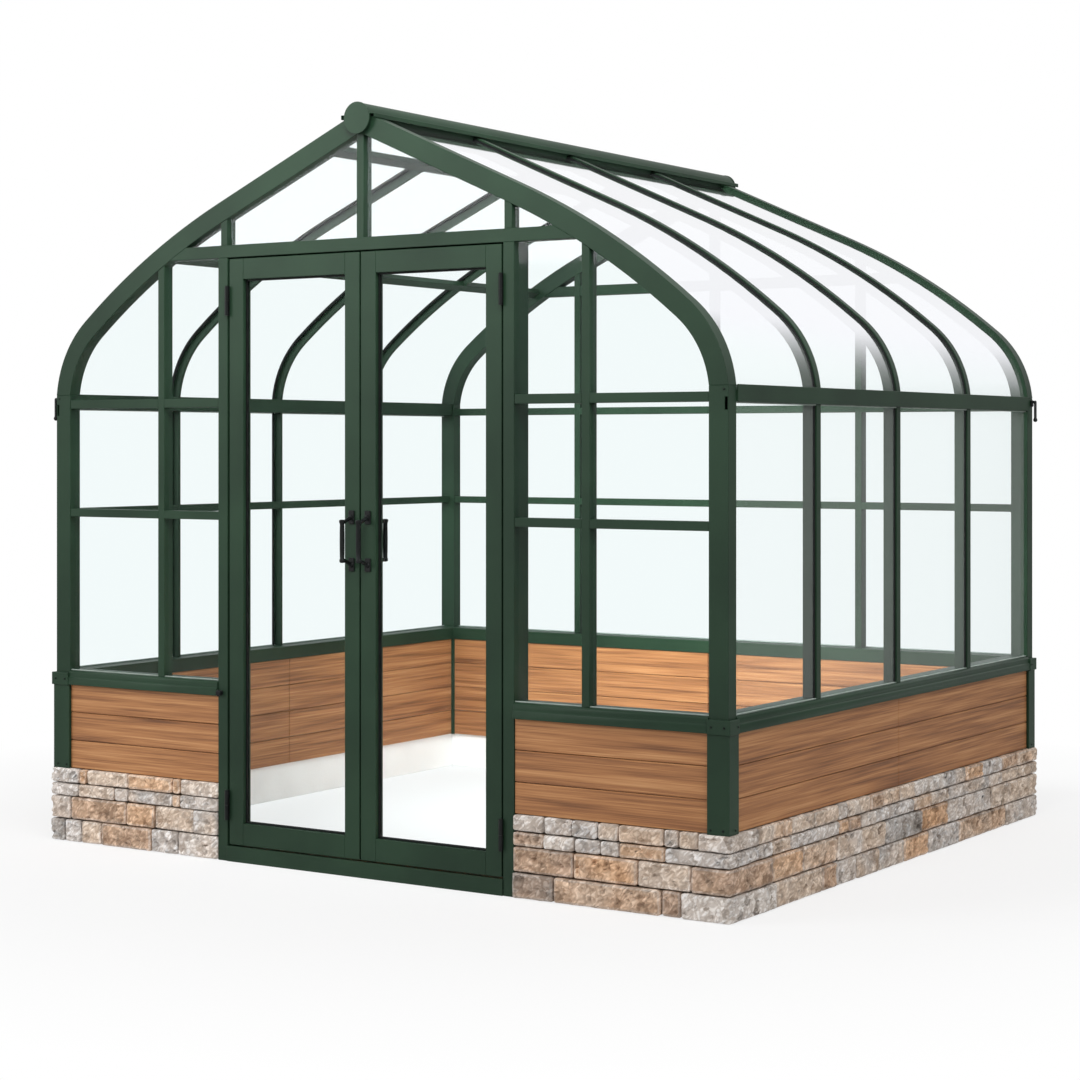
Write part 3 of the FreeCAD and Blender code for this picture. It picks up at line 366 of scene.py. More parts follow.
def worked_finish(name, dark, light, grain, rough):
    # Small hardware, rubber and plastic strips: a nearly even tone with fine handling marks in the sheen
    made, tree, place = start_material(name)
    marks = add(tree, "ShaderNodeTexNoise", inputs={"Vector": place, "Scale": 1 / grain, "Detail": 4.0})
    tone = add(tree, "ShaderNodeValToRGB", {"stops": ((0.3, dark), (0.7, light))}, {"Fac": marks.outputs["Fac"]})
    sheen = add(tree, "ShaderNodeMapRange", inputs={
        "Value": marks.outputs["Fac"], "To Min": rough - 0.08, "To Max": rough + 0.08})
    show(tree, add(tree, "ShaderNodeBsdfPrincipled", inputs={
        "Base Color": tone.outputs["Color"], "Roughness": sheen.outputs["Result"], "Specular IOR Level": 0.2}))
    return made


green_coat = powder_coated_aluminium()
glazing = clear_glazing()
cladding = wood_look_cladding()
walling = split_stone()
concrete = bare_mix("limewashed_concrete", "#F5F5F4", "#FBFBFA", 0.12, 0.9)
# dark mortar whose dark tone partly paints the shade in the joints of the stones
mortar_and_joint_shade = bare_mix("bedding_mortar_and_joint_shade", "#3B3632", "#54504B", 0.05, 0.95)
black_metal = worked_finish("black_lacquered_steel", "#0C0E0E", "#171A1A", 0.03, 0.42)
rubber = worked_finish("black_rubber", "#0E1110", "#181C1A", 0.02, 0.6)
screw_coat = worked_finish("coated_steel_screw", "#121915", "#1F2822", 0.01, 0.4)
# pale tape whose pale tone is partly a painted highlight along the pane edges
setting_tape_and_highlight = worked_finish("pale_setting_tape_and_highlight", "#87938B", "#A0AAA3", 0.05, 0.55)

# Frame lengths, panes and seals: the solids with eased edges and smooth bends

REBUILT = ("frame_screws", "gutter_spouts", "left_leaf_handles", "right_leaf_handles")
for node in sorted(nodes):
    slot = slot_of[node]
    if node in REBUILT:
        continue
    if slot == "green_powder_coat":
        set_piece(node + "_coated", eased_node(node, 1.2), green_coat, body_of[node], slot, node)
    elif slot == "clear_glazing":
        set_piece(node + "_glazed", eased_node(node, 0.0), glazing, body_of[node], slot, node)
    elif slot == "seal_rubber":
        set_piece(node + "_fitted", eased_node(node, 0.8), rubber, body_of[node], slot, node)
    elif slot == "black_hardware":
        set_piece(node + "_lacquered", eased_node(node, 0.6), black_metal, body_of[node], slot, node)

# Knee wall boards: eased edges, and a run of the grain for each row. Grain is in metres, the easing in mm

BOARD_EASE = 2.0
GRAIN_RUN = 30.0


def grain_boards(node, seed):
    rng = random.Random(seed)
    shifts = {}
    boards = []
    for solid in solids(node):
        bm = eased_solid(solid, BOARD_EASE)
        low, high = reach(solid)
        along = 0 if high[0] - low[0] > high[1] - low[1] else 1
        row = (round(low[2]), low[1 - along] > 0)
        start, lift = shifts.setdefault(row, (rng.uniform(0.0, GRAIN_RUN), rng.uniform(0.0, GRAIN_RUN)))
        sheet = bm.loops.layers.uv.new("board")
        for face in bm.faces:
            for loop in face.loops:
                loop[sheet].uv = (loop.vert.co[along] + start, loop.vert.co[2] + loop.vert.co[1 - along] + lift)
        boards.append(bm)
    return joined(boards, node + "_boards")


board_nodes = sorted(node for node in nodes if slot_of[node] == "wood_board")
for number, node in enumerate(board_nodes):
    set_piece(node + "_grained", grain_boards(node, 40 + number), cladding, "house", "wood_board", node)

# Plinth stones: a rock-faced block for every solid, following the corner where a stone turns it

STONE_GRID = 4.0
STONE_DEPTH = 38.0
CORNER_RADIUS = 10.0
RIM_MARKS = (0.0, 1.5, 4.5, 9.0)
CRAG_SCALE, CRAG_HIGH = 3.0, 7.0
FACET_SCALE, FACET_HIGH = 2.6, 6.0
# level of the painted light on a stone face before its facets and crags lift and lower it
FACE_LIGHT = 1.42
# the face starts back from its rim: widths from the outline, and how far it drops or wobbles there
RELIEF_RIM, ROUND_RIM, ROUND_DROP, RIM_WOBBLE = 11.0, 8.0, 6.0, 1.5
FACE_BACK, FACE_LIMIT = 4.0, 1.0
# a pale worn line inside the outline, partly a painted highlight on the rounded arris
WORN_HIGHLIGHT_SHARE, WORN_HIGHLIGHT_AT, WORN_HIGHLIGHT_WIDE, WORN_HIGHLIGHT_TONE = 0.5, 3.5, 5.0, 0.85
BACK_SHADE = 0.5
TONES = {"w": "#F7F4F1", "p": "#EFE6DE", "g": "#DAD7D5", "b": "#C5C4C4", "k": "#9A9794", "c": "#F5E6D7",
         "o": "#E5C7AB", "t": "#D8C9BA", "n": "#C6AD97", "r": "#D2AE8D", "q": "#B8A291"}
# tones that may cloud a stone of each tone
PARTNERS = {"w": "gp", "p": "gc", "g": "pb", "b": "gt", "k": "bq", "c": "pt",
            "o": "cr", "t": "gc", "n": "tq", "r": "oc", "q": "nt"}
# the tone of each stone along a wall, lowest course first; the walls not listed draw theirs
COURSE_TONES = {
    "stones_front": ("kbtnbgknqw", "tnocbnrcq", "gcgbogqwggog", "gocooppgbtottp"),
    "stones_right": ("tngtbogn", "ontckrgc", "gtgonwbotbtc", "cooctgtnotwbogn"),
}
DRAWN_TONES = "ccppgggbbkootttnrqw"
WALL_RUNS = {"stones_front": (1, 0), "stones_right": (0, 1), "stones_rear": (-1, 0), "stones_left": (0, -1)}


def stone_path(node, low, high):
    # start, direction and length of a stone's one or two faces, walking with the wall on the left hand
    wide, deep = high[0] - low[0], high[1] - low[1]
    if min(wide, deep) < 60.0:
        run = Vector(WALL_RUNS[node])
        start = {(1, 0): (low[0], low[1]), (0, 1): (high[0], low[1]),
                 (-1, 0): (high[0], high[1]), (0, -1): (low[0], high[1])}[WALL_RUNS[node]]
        return [(Vector(start), run, wide if run.x else deep)]
    right, rear = high[0] + low[0] > 0, high[1] + low[1] > 0
    corner = Vector((high[0] if right else low[0], high[1] if rear else low[1]))
    first = Vector({(True, False): (1, 0), (True, True): (0, 1),
                    (False, True): (-1, 0), (False, False): (0, -1)}[right, rear])
    second = Vector((-first.y, first.x))
    before, after = (wide, deep) if first.x else (deep, wide)
    return [(corner - first * before, first, before), (corner, second, after)]


def on_path(path, u):
    # face point, outward direction and the point behind it on the kerb
    start, run, length = path[0]
    out = Vector((run.y, -run.x))
    if len(path) == 1:
        at = start + run * u
        return at, out, at - out * STONE_DEPTH
    corner, second, _ = path[1]
    behind = corner - (out + run) * STONE_DEPTH
    bend = length - CORNER_RADIUS
    turn = (u - bend) / CORNER_RADIUS
    if turn <= 0:
        at = start + run * u
        return at, out, at - out * STONE_DEPTH if u < length - STONE_DEPTH else behind
    if turn < math.pi / 2:
        normal = out * math.cos(turn) + run * math.sin(turn)
        return corner - (out + run) * CORNER_RADIUS + normal * CORNER_RADIUS, normal, behind
    past = CORNER_RADIUS + u - bend - CORNER_RADIUS * math.pi / 2
    at = corner + second * past
    return at, run, at - run * STONE_DEPTH if past > STONE_DEPTH else behind


def marks(length):
    # grid lines along a stone: close together at the rims, even between them
    rim = RIM_MARKS[-1]
    inner = length - 2 * rim
    count = max(1, round(inner / STONE_GRID))
    return [*RIM_MARKS, *(rim + inner * k / count for k in range(1, count)), *(length - r for r in reversed(RIM_MARKS))]


def rounded(u, v, length, height, radius):
    # a point of the square grid moved onto a block outline with rounded corners, and its distance from that outline
    a = max(radius - u, u - length + radius, 0.0) / radius
    b = max(radius - v, v - height + radius, 0.0) / radius
    if a and b:
        round_a, round_b = a * math.sqrt(1 - b * b / 2), b * math.sqrt(1 - a * a / 2)
        u += (a - round_a) * radius * (1 if u < length / 2 else -1)
        v += (b - round_b) * radius * (1 if v < height / 2 else -1)
        return u, v, radius * (1 - math.hypot(round_a, round_b))
    return u, v, min(u, length - u, v, height - v)


def split_face(spot):
    # height in mm and painted light of a face split along leaning facets with ridges between them: facets that lean up
    # and the crag ridges are painted lighter, the crag hollows darker
    crag = noise.ridged_multi_fractal(spot * CRAG_SCALE, 0.7, 2.2, 4, 1.0, 2.0)
    _, centres = noise.voronoi(spot * FACET_SCALE)
    lean = noise.noise_vector(centres[0] * 3.7)
    slope = lean.dot(spot * FACET_SCALE - centres[0]) * 2.0 + lean.z
    return CRAG_HIGH * (crag - 1.0) + FACET_HIGH * slope, FACE_LIGHT - 0.5 * lean.y + 0.25 * (crag - 1.0)


def rock_stone(bm, path, z0, z1, tones, rng, layers):
    # one closed block: a split face on a grid, a ring of back points on the kerb, sides and back between them
    length = sum(leg[2] for leg in path)
    if len(path) == 2:
        length -= CORNER_RADIUS * (2 - math.pi / 2)
    height = z1 - z0
    radius = rng.uniform(5.0, 9.0)
    swing = rng.uniform(-3.0, 3.0)
    key = Vector([rng.uniform(0.0, 400.0) for _ in range(3)])
    us, vs = marks(length), marks(height)
    tone_layer, shift_layer = layers
    first, second = tones
    grid = []
    for u in us:
        column = []
        for v in vs:
            pu, pv, rim = rounded(u, v, length, height, radius)
            spot = Vector((pu, pv * 1.3, 0.0)) / 100.0 + key
            edge = min(rim / RELIEF_RIM, 1.0)
            pu += RIM_WOBBLE * noise.noise(spot * FACET_SCALE) * (1 - edge)
            pv += RIM_WOBBLE * noise.noise(spot * FACET_SCALE + key) * (1 - edge)
            relief, light = split_face(spot + noise.noise_vector(spot * 4.0) * 0.06)
            relief += noise.noise(spot * 1.5) * 3.0 + (pu / length - 0.5) * swing
            out = -ROUND_DROP * (1 - min(rim / ROUND_RIM, 1.0)) ** 2.0 + (relief - FACE_BACK) * edge
            at, normal, _ = on_path(path, pu)
            face = at + normal * min(out, FACE_LIMIT)
            vert = bm.verts.new(Vector((face.x, face.y, z0 + pv)) * MM)
            blend = 0.3 + 0.9 * noise.noise(Vector((pu / 90.0, pv / 110.0, 0.0)) + key * 2)
            blend = min(max(blend, 0.0), 0.8)
            # painted light and shade on the face: the facet and crag light, with higher relief painted lighter and
            # hollows darker
            shade = min(max(light + 0.015 * relief, 0.65), 1.7)
            # pale worn line inside the outline, partly a painted highlight on the rounded arris
            worn_highlight = WORN_HIGHLIGHT_SHARE * max(0.0, 1 - abs(rim - WORN_HIGHLIGHT_AT) / WORN_HIGHLIGHT_WIDE)
            tint = [(a * (1 - blend) + b * blend) * shade * (1 - worn_highlight) + WORN_HIGHLIGHT_TONE * worn_highlight
                    for a, b in zip(first[:3], second[:3])]
            # no stone is whiter than white: its largest channel is the cap
            vert[tone_layer] = [c / max(1.0, *tint) for c in tint] + [1.0]
            vert[shift_layer] = key
            column.append(vert)
        grid.append(column)
    for i in range(len(us) - 1):
        for j in range(len(vs) - 1):
            bm.faces.new((grid[i][j], grid[i + 1][j], grid[i + 1][j + 1], grid[i][j + 1]))
    last_u, last_v = len(us) - 1, len(vs) - 1
    ring = ([(i, 0) for i in range(last_u)] + [(last_u, j) for j in range(last_v)]
            + [(i, last_v) for i in range(last_u, 0, -1)] + [(0, j) for j in range(last_v, 0, -1)])
    back = {}
    for i, j in ring:
        pu, pv, _ = rounded(us[i], vs[j], length, height, radius)
        behind = on_path(path, pu)[2]
        vert = bm.verts.new(Vector((behind.x, behind.y, z0 + pv)) * MM)
        vert[tone_layer] = [c * BACK_SHADE for c in first[:3]] + [1.0]
        vert[shift_layer] = key
        back[i, j] = vert
    for (i, j), (p, q) in zip(ring, ring[1:] + ring[:1]):
        bm.faces.new((grid[p][q], grid[i][j], back[i, j], back[p, q]))
    for i in range(last_u):
        left = [back[0, j] for j in range(1, last_v)] if i == 0 else []
        right = [back[last_u, j] for j in range(last_v - 1, 0, -1)] if i + 1 == last_u else []
        bm.faces.new([back[i, 0], *left, back[i, last_v], back[i + 1, last_v], *right, back[i + 1, 0]])


def wall_stones(node, seed):
    rng = random.Random(seed)
    bm = bmesh.new()
    layers = (bm.verts.layers.float_color.new("tone"), bm.verts.layers.float_vector.new("shift"))
    run = WALL_RUNS[node]

    def along_wall(box):
        low, high = box
        return (low[0] + high[0]) * run[0] + (low[1] + high[1]) * run[1]

    courses = {}
    for solid in solids(node):
        low, high = reach(solid)
        courses.setdefault(round(low[2]), []).append((low, high))
    for course, level in enumerate(sorted(courses)):
        for place, (low, high) in enumerate(sorted(courses[level], key=along_wall)):
            letters = COURSE_TONES.get(node)
            letter = letters[course][place] if letters else rng.choice(DRAWN_TONES)
            partner = rng.choice(PARTNERS[letter])
            tones = (linear(TONES[letter]), linear(TONES[partner]))
            rock_stone(bm, stone_path(node, low, high), low[2], high[2], tones, rng, layers)
    bmesh.ops.remove_doubles(bm, verts=bm.verts, dist=0.00005)
    bmesh.ops.dissolve_degenerate(bm, edges=bm.edges, dist=0.00005)
    return mesh_of(bm, node + "_stones", 60.0)


for number, node in enumerate(sorted(WALL_RUNS)):
    set_piece(node + "_split", wall_stones(node, 70 + number), walling, "house", "stone", node)

# The kerb is bare inside; its outside, seen in the joints of the stones, carries a dark mortar that partly paints the
# shade in the joints

KERB_OUT_X, KERB_OUT_Y = 1331.0, 1178.0
kerb_mesh = eased_node("kerb", 2.0)
kerb_mesh.update()
for face in kerb_mesh.polygons:
    x, y = (abs(c) / MM for c in face.center[:2])
    face.material_index = 1 if x > KERB_OUT_X or y > KERB_OUT_Y else 0
set_piece("kerb_cast", kerb_mesh, (concrete, mortar_and_joint_shade), "house", "concrete", "kerb")

# Pull handles: a turned grip with collared ends on two leaning arms and chamfered rosettes

GRIP_OUT, GRIP_HALF = 52.0, 64.0
ROSETTE_SPREAD, ROSETTE_THICK = 77.0, 6.0
ROSETTE_HALF_WIDE, ROSETTE_HALF_HIGH = 12.0, 22.0
GRIP_PROFILE = (
    (-70.0, 0.0), (-69.5, 5.0), (-67.0, 8.6), (-61.0, 9.2), (-58.0, 8.2), (-56.0, 7.4), (-28.0, 8.0), (0.0, 8.2),
    (28.0, 8.0), (56.0, 7.4), (58.0, 8.4), (61.0, 9.6), (67.0, 10.2), (70.0, 7.0), (70.8, 0.0))
for side, body in ((-1, "left_door"), (1, "right_door")):
    bm = bmesh.new()
    x = side * HANDLE_X
    for face, out in ((LEAF_FACE, -1), (LEAF_BACK, 1)):
        grip_y = face + out * GRIP_OUT
        turned(bm, (x, grip_y, HANDLE_LEVEL), (0, 0, 1), GRIP_PROFILE)
        for end in (-1, 1):
            middle = HANDLE_LEVEL + end * ROSETTE_SPREAD
            bar(bm, (x - ROSETTE_HALF_WIDE, face, middle - ROSETTE_HALF_HIGH),
                (x + ROSETTE_HALF_WIDE, face + out * ROSETTE_THICK, middle + ROSETTE_HALF_HIGH), 2.4)
            root = Vector((x, face + out * 4, middle))
            knee = Vector((x, grip_y, HANDLE_LEVEL + end * (GRIP_HALF - 6)))
            length = (knee - root).length
            turned(bm, root, knee - root, ((0, 0), (0, 9.5), (4, 9.5), (7, 6.6), (length - 4, 5.6), (length, 0)), 16)
    name = body.replace("door", "leaf_handles")
    set_piece(name + "_turned", mesh_of(bm, name), black_metal, body, "black_hardware", name)

# Drain spouts: a thin black hook with a ball end on a small saddle at the eave

SPOUT_X, SPOUT_Y, SPOUT_TIP = 1373.5, 1190.0, 1490.0
SPOUT_PROFILE = ((0.0, 0.0), (1.2, 4.2), (4.0, 7.0), (8.0, 8.2), (12.0, 7.0), (15.0, 5.2), (76.0, 5.2), (80.0, 3.8),
                 (82.0, 0.0))
ARM_LEVEL = 1566.0
ARM_PROFILE = ((0, 0), (0, 5.2), (15, 5.2), (18, 3.6), (19, 0))
SADDLE_FOOT, SADDLE_TOP, SADDLE_THICK = 1548.0, 1573.0, 8.0
bm = bmesh.new()
for side in (-1, 1):
    y = side * SPOUT_Y
    turned(bm, (side * SPOUT_X, y, SPOUT_TIP), (0, 0, 1), SPOUT_PROFILE, 20)
    bar(bm, (side * FRAME_X, y - 8, SADDLE_FOOT), (side * (FRAME_X + SADDLE_THICK), y + 8, SADDLE_TOP), 2.5)
    turned(bm, (side * FRAME_X, y, ARM_LEVEL), (side, 0, 0), ARM_PROFILE, 16)
set_piece("gutter_spouts_hooked", mesh_of(bm, "spouts"), black_metal, "house", slot_of["gutter_spouts"],
          "gutter_spouts")

# Screws: pan heads with a cross recess on every screw of the frame and on the feet of the corner trims

TRIM_FACE, TRIM_SCREW_LEVEL = 8.2, 272.0
SCREW_LIFT = 1.25


def grown(tree, seeds, values):
    # the mesh that a node tree grows on seed points or lines
    host = bpy.data.objects.new("seeds", seeds)
    scene.collection.objects.link(host)
    modifier = host.modifiers.new("grow", "NODES")
    modifier.node_group = tree
    for item in tree.interface.items_tree:
        if item.in_out == "INPUT" and item.name in values:
            modifier[item.identifier] = values[item.name]
    mesh = bpy.data.meshes.new_from_object(host.evaluated_get(bpy.context.evaluated_depsgraph_get()))
    host.modifiers.remove(modifier)
    bpy.data.objects.remove(host)
    return mesh


def start_tree(name, sizes):
    tree = bpy.data.node_groups.new(name, "GeometryNodeTree")
    tree.interface.new_socket(name="Seeds", in_out="INPUT", socket_type="NodeSocketGeometry")
    for size in sizes:
        tree.interface.new_socket(name=size, in_out="INPUT", socket_type="NodeSocketFloat")
    tree.interface.new_socket(name="Grown", in_out="OUTPUT", socket_type="NodeSocketGeometry")
    return tree, add(tree, "NodeGroupInput").outputs


def end_tree(tree, geometry, finish):
    real = add(tree, "GeometryNodeRealizeInstances", inputs={0: geometry})
    coat = add(tree, "GeometryNodeSetMaterial", inputs={"Geometry": real.outputs[0], "Material": finish})
    add(tree, "NodeGroupOutput", inputs={0: coat.outputs[0]})


def pan_head_screws(finish):
    tree, given = start_tree("pan_head_screws", ("Head radius", "Head height", "Recess width"))
    crown = add(tree, "ShaderNodeMath", {"operation": "MULTIPLY"}, {0: given["Head radius"], 1: 0.68})
    head = add(tree, "GeometryNodeMeshCone", inputs={
        "Vertices": 14, "Radius Top": crown.outputs[0], "Radius Bottom": given["Head radius"],
        "Depth": given["Head height"]})
    long_side = add(tree, "ShaderNodeMath", {"operation": "MULTIPLY"}, {0: given["Head radius"], 1: 1.1})
    cuts = []
    for axes in (("X", "Y"), ("Y", "X")):
        size = add(tree, "ShaderNodeCombineXYZ", inputs={
            axes[0]: long_side.outputs[0], axes[1]: given["Recess width"], "Z": given["Head height"]})
        cut = add(tree, "GeometryNodeMeshCube", inputs={"Size": size.outputs[0]})
        lift = add(tree, "ShaderNodeCombineXYZ", inputs={"Z": given["Head height"]})
        cuts.append(add(tree, "GeometryNodeTransform", inputs={
            "Geometry": cut.outputs[0], "Translation": lift.outputs[0]}).outputs[0])
    crossed = add(tree, "GeometryNodeMeshBoolean", {"operation": "DIFFERENCE"},
                  {"Mesh 1": head.outputs["Mesh"], "Mesh 2": cuts})
    facing = add(tree, "GeometryNodeInputNamedAttribute", {"data_type": "FLOAT_VECTOR"}, {"Name": "facing"})
    aligned = add(tree, "FunctionNodeAlignRotationToVector", {"axis": "Z"}, {"Vector": facing.outputs["Attribute"]})
    placed = add(tree, "GeometryNodeInstanceOnPoints", inputs={
        "Points": given["Seeds"], "Instance": crossed.outputs["Mesh"], "Rotation": aligned.outputs[0]})
    spin = add(tree, "FunctionNodeRandomValue", {"data_type": "FLOAT_VECTOR"},
               {0: (0.0, 0.0, 0.0), 1: (0.0, 0.0, 1.5), "Seed": 4})
    spun = add(tree, "GeometryNodeRotateInstances", inputs={
        "Instances": placed.outputs[0], "Rotation": spin.outputs[0]})
    end_tree(tree, spun.outputs[0], finish)
    return tree


def edge_strips(finish):
    tree, given = start_tree("edge_strips_" + finish.name, ("Width", "Height"))
    line = add(tree, "GeometryNodeMeshToCurve", inputs={"Mesh": given["Seeds"]})
    upright = add(tree, "GeometryNodeSetCurveNormal", {"mode": "Z_UP"}, {"Curve": line.outputs[0]})
    section = add(tree, "GeometryNodeCurvePrimitiveQuadrilateral", inputs={
        "Width": given["Width"], "Height": given["Height"]})
    strip = add(tree, "GeometryNodeCurveToMesh", inputs={
        "Curve": upright.outputs[0], "Profile Curve": section.outputs[0], "Fill Caps": True})
    end_tree(tree, strip.outputs[0], finish)
    return tree


screw_spots = []
for solid in solids("frame_screws"):
    low, high = reach(solid)
    thin = min(range(3), key=lambda axis: high[axis] - low[axis])
    side = 1 if low[thin] + high[thin] > 0 else -1
    spot = [(a + b) / 2 for a, b in zip(low, high)]
    spot[thin] = (low if side > 0 else high)[thin] + side * SCREW_LIFT
    screw_spots.append((spot, [side if axis == thin else 0 for axis in range(3)]))
for side in (-1, 1):
    for end in (-1, 1):
        for inset in (14.0, 56.0):
            spot = (side * (FRAME_X - inset), end * (FRAME_Y + TRIM_FACE), TRIM_SCREW_LEVEL)
            screw_spots.append((spot, (0, end, 0)))
        spot = (side * (FRAME_X + TRIM_FACE), end * (FRAME_Y - 30.0), TRIM_SCREW_LEVEL)
        screw_spots.append((spot, (side, 0, 0)))


def screw_seeds(spots):
    seeds = bpy.data.meshes.new("screw_seeds")
    seeds.from_pydata([[c * MM for c in spot] for spot, _ in spots], [], [])
    facing = seeds.attributes.new("facing", "FLOAT_VECTOR", "POINT")
    for item, (_, way) in zip(facing.data, spots):
        item.vector = way
    return seeds


screw_mesh = grown(pan_head_screws(screw_coat), screw_seeds(screw_spots),
                   {"Head radius": 0.0034, "Head height": 0.0022, "Recess width": 0.0011})
set_piece("frame_screws_headed", screw_mesh, (), "house", "steel_screw", "frame_screws")

# Gaskets beside the roof and wall bars, and the pale tape that the panes stand on, whose pale tone is partly a painted
# highlight along the pane edges

ROOF_SLOPE, SWEEP_SLOPE, EAVE_SLOPE = 24.0, 40.0, 84.0
SWEEP_RADIUS, BEND_RADIUS, BEND_FOOT = 2600.0, 380.0, 1584.0
LINE_STOP = 46.0
GASKET_OFF, GASKET_RISE = 2.5, 1.5
TAPE_IN, TAPE_RISE = 4.0, 2.0


def slope_normal(angle):
    return Vector((math.sin(math.radians(angle)), math.cos(math.radians(angle))))


def roof_line(inset):
    # points (x, z) of the right roof slope at a depth below the outline, eave to ridge
    bend = Vector((FRAME_X, BEND_FOOT)) - slope_normal(EAVE_SLOPE) * BEND_RADIUS
    sweep = bend + slope_normal(SWEEP_SLOPE) * (BEND_RADIUS - SWEEP_RADIUS)
    turns = [EAVE_SLOPE + (SWEEP_SLOPE - EAVE_SLOPE) * k / 14 for k in range(15)]
    points = [bend + slope_normal(t) * (BEND_RADIUS - inset) for t in turns]
    turns = [SWEEP_SLOPE + (ROOF_SLOPE - SWEEP_SLOPE) * k / 8 for k in range(1, 9)]
    points += [sweep + slope_normal(t) * (SWEEP_RADIUS - inset) for t in turns]
    last = points[-1]
    points.append(Vector((LINE_STOP, last.y + (last.x - LINE_STOP) * math.tan(math.radians(ROOF_SLOPE)))))
    return points


def line_seeds(lines):
    points = [p for line in lines for p in line]
    edges = []
    first = 0
    for line in lines:
        edges += [(first + k, first + k + 1) for k in range(len(line) - 1)]
        first += len(line)
    seeds = bpy.data.meshes.new("line_seeds")
    seeds.from_pydata([[c * MM for c in p] for p in points], edges, [])
    return seeds


gasket_lines = []
for side in (-1, 1):
    for y in [bar_y + edge * (BAR_FACE / 2 + GASKET_OFF) for bar_y in BAR_YS for edge in (-1, 1)]:
        gasket_lines.append([(side * p.x, y, p.y) for p in roof_line(PANE_SET - GASKET_RISE)])
        x = side * (FRAME_X - PANE_SET + GASKET_RISE)
        gasket_lines.append([(x, y, SILL_TOP), (x, y, GUTTER_FOOT)])
gasket_mesh = grown(edge_strips(rubber), line_seeds(gasket_lines), {"Width": 0.006, "Height": 0.008})
set_piece("bar_gaskets", gasket_mesh, (), "house", "seal_rubber")

low_tape, high_tape = SILL_TOP + TAPE_RISE, GUTTER_FOOT - TAPE_RISE
front_tape, rear_tape = -FRAME_Y + PANE_SET - TAPE_IN, FRAME_Y - PANE_SET + TAPE_IN
tape_lines = []
for side in (-1, 1):
    x = side * (FRAME_X - PANE_SET + TAPE_IN)
    tape_lines += [[(x, -POST_Y, z), (x, POST_Y, z)] for z in (low_tape, high_tape)]
    tape_lines.append([(side * JAMB_OUTER, front_tape, low_tape), (side * POST_X, front_tape, low_tape)])
tape_lines.append([(-POST_X, rear_tape, low_tape), (POST_X, rear_tape, low_tape)])
tape_mesh = grown(edge_strips(setting_tape_and_highlight), line_seeds(tape_lines), {"Width": 0.008, "Height": 0.004})
set_piece("pane_setting_tape", tape_mesh, (), "house", "seal_rubber")

# A seal down the meeting edge of the left leaf, and a black door stop knob at the end of the left sill

LEAF_FOOT, LEAF_HEAD = 60.0, 2028.0
bm = bmesh.new()
bar(bm, (-3.0, -1190.0, LEAF_FOOT), (1.5, -1176.0, LEAF_HEAD), 1.0)
bar(bm, (-3.0, -1184.0, LEAF_FOOT), (-1.0, -1180.0, LEAF_HEAD), 0.4)
set_piece("leaf_meeting_seal", mesh_of(bm, "meeting_seal"), rubber, "left_door", "seal_rubber")

KNOB_PROFILE = ((0, 0), (0, 9), (3, 9), (4, 5.5), (8, 5.5), (10, 10), (16, 11), (19, 8), (20, 0))
KNOB_X, KNOB_LEVEL = -589.0, 566.0
bm = bmesh.new()
turned(bm, (KNOB_X, -FRAME_Y, KNOB_LEVEL), (0, -1, 0), KNOB_PROFILE, 20)
set_piece("door_stop_knob", mesh_of(bm, "door_stop"), black_metal, "house", "black_hardware")

# Floor, light and camera


def white_floor():
    # Matt white studio floor; the camera sees it lightened, fully so away from the object, and a soft shadow is left
    made, tree, place = start_material("white_studio_floor")
    cloud = add(tree, "ShaderNodeTexNoise", inputs={"Vector": place, "Scale": 0.5})
    tone = add(tree, "ShaderNodeValToRGB", {"stops": ((0.3, "#F8F8F8"), (0.7, "#FBFBFB"))},
               {"Fac": cloud.outputs["Fac"]})
    matt = add(tree, "ShaderNodeBsdfDiffuse", inputs={"Color": tone.outputs["Color"]})
    glow = add(tree, "ShaderNodeEmission", inputs={"Color": linear("#FFFFFF"), "Strength": 1.0})
    rays = add(tree, "ShaderNodeLightPath").outputs
    seen = add(tree, "ShaderNodeMath", {"operation": "MAXIMUM"}, {
        0: rays["Is Camera Ray"], 1: rays["Is Transmission Ray"]})
    far = add(tree, "ShaderNodeVectorMath", {"operation": "LENGTH"}, {0: place})
    fade = add(tree, "ShaderNodeMapRange", inputs={
        "Value": far.outputs["Value"], "From Min": 1.6, "From Max": 3.4, "To Min": 0.72, "To Max": 1.0})
    share = add(tree, "ShaderNodeMath", {"operation": "MULTIPLY"}, {0: seen.outputs[0], 1: fade.outputs["Result"]})
    show(tree, add(tree, "ShaderNodeMixShader", inputs={0: share.outputs[0], 1: matt.outputs[0], 2: glow.outputs[0]}))
    return made


# half the floor's width and its depth below the object, in metres
FLOOR_HALF, FLOOR_DROP = 60.0, 0.0005
bm = bmesh.new()
bmesh.ops.create_grid(bm, x_segments=4, y_segments=4, size=FLOOR_HALF, matrix=Matrix.Translation((0, 0, -FLOOR_DROP)))
floor_mesh = bpy.data.meshes.new("floor")
bm.to_mesh(floor_mesh)
bm.free()
floor_mesh.materials.append(white_floor())
floor = bpy.data.objects.new("floor", floor_mesh)
scene.collection.objects.link(floor)

world = bpy.data.worlds.new("soft_studio")
scene.world = world
world.use_nodes = True
tree = world.node_tree
tree.nodes.clear()
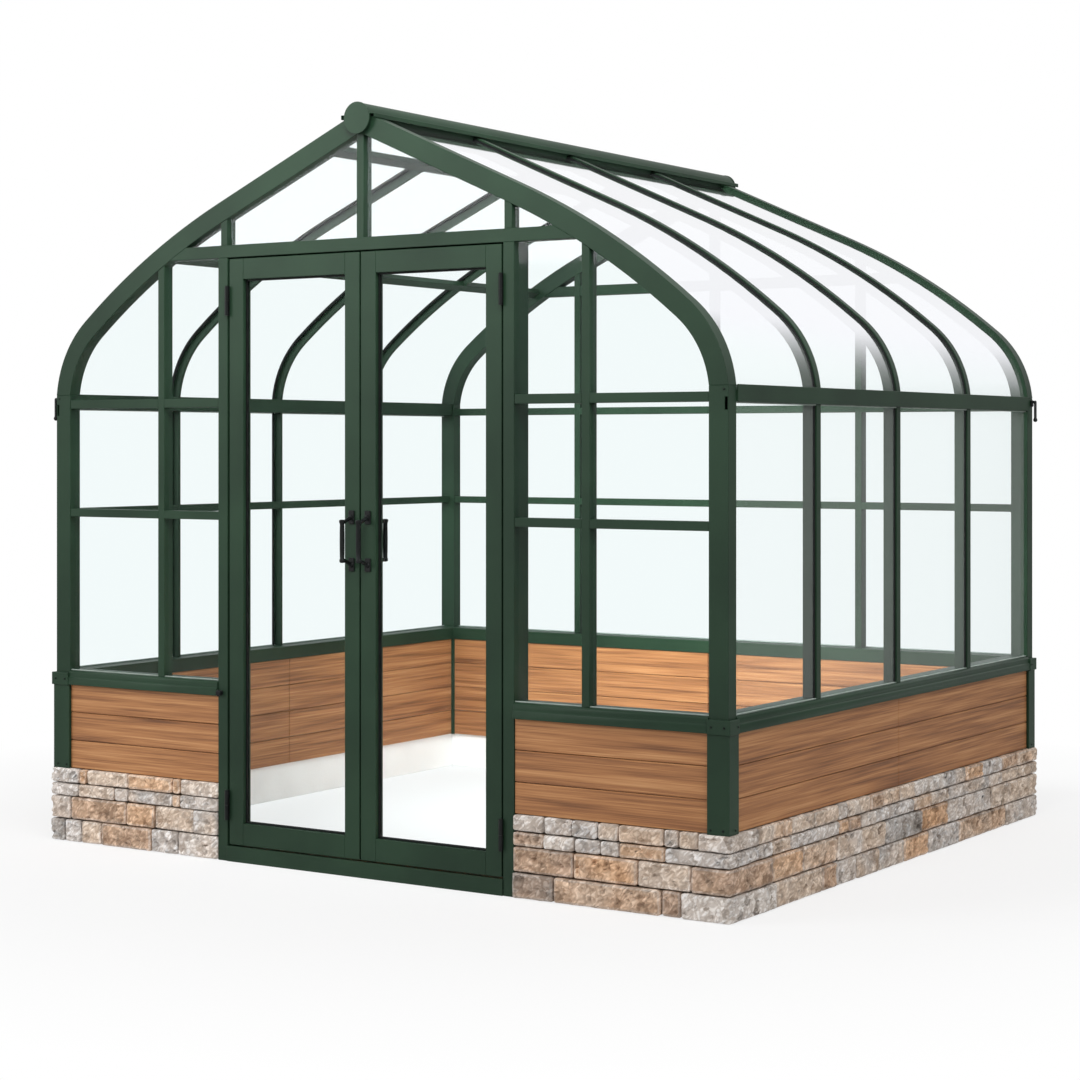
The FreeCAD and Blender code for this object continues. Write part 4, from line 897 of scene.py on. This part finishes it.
# the eye sees white; mirrors see white above and a dimmer room at the horizon; matt surfaces get the low level
rays = add(tree, "ShaderNodeLightPath").outputs
heading = add(tree, "ShaderNodeTexCoord").outputs["Generated"]
rise = add(tree, "ShaderNodeSeparateXYZ", inputs={"Vector": heading}).outputs["Z"]
mirrored = add(tree, "ShaderNodeMapRange", inputs={
    "Value": rise, "From Min": 0.05, "From Max": 0.2, "To Min": 0.4, "To Max": 1.0})
seen = add(tree, "ShaderNodeMath", {"operation": "MAXIMUM"}, {
    0: rays["Is Camera Ray"], 1: rays["Is Transmission Ray"]})
gloss = add(tree, "ShaderNodeMath", {"operation": "MULTIPLY"}, {
    0: rays["Is Glossy Ray"], 1: mirrored.outputs["Result"]})
level = add(tree, "ShaderNodeMath", {"operation": "MAXIMUM"}, {0: seen.outputs[0], 1: gloss.outputs[0]})
level = add(tree, "ShaderNodeMath", {"operation": "MAXIMUM"}, {0: level.outputs[0], 1: 0.4})
sky = add(tree, "ShaderNodeBackground", inputs={"Color": linear("#FFFFFF"), "Strength": level.outputs[0]})
add(tree, "ShaderNodeOutputWorld", inputs={"Surface": sky.outputs[0]})

LAMPS = (
    # name, watts, width and height in metres, spread in degrees, place, aim
    ("front_soft_lamp", 236.0, 4.0, 2.5, 180, (-4.5, -7.0, 3.8), (0.0, -0.8, 1.5)),
    ("right_soft_lamp", 152.0, 3.5, 2.5, 180, (5.2, -3.0, 5.4), (0.6, 0.0, 1.2)),
    ("upper_lamp", 30.0, 2.0, 1.2, 70, (1.3, -3.2, 4.4), (0.0, -0.7, 2.5)),
    ("inside_fill", 36.0, 0.9, 0.7, 130, (-0.55, -0.45, 1.75), (0.75, 1.1, 0.55)),
    ("roof_fill", 6.0, 0.8, 0.8, 180, (0.35, 0.0, 1.6), (-0.5, 0.2, 2.3)),
)
for name, watts, width, height, spread, place, aim in LAMPS:
    lamp = bpy.data.lights.new(name, "AREA")
    lamp.energy = watts
    lamp.shape = "RECTANGLE"
    lamp.size, lamp.size_y = width, height
    lamp.spread = math.radians(spread)
    stand = bpy.data.objects.new(name, lamp)
    stand.location = place
    stand.rotation_euler = (Vector(aim) - stand.location).to_track_quat("-Z", "Y").to_euler()
    stand.visible_camera = False
    stand.visible_glossy = name.endswith("_soft_lamp")
    scene.collection.objects.link(stand)

lens = bpy.data.cameras.new("view")
lens.lens = 77.92
lens.sensor_width = 36.0
lens.shift_y = -0.0885
lens.clip_end = 300.0
camera = bpy.data.objects.new("view", lens)
camera.location = (4.6316, -7.2376, 1.4057)
camera.rotation_euler = (math.radians(90), 0.0, math.radians(33.1))
scene.collection.objects.link(camera)
scene.camera = camera
scene.view_settings.view_transform = "Standard"
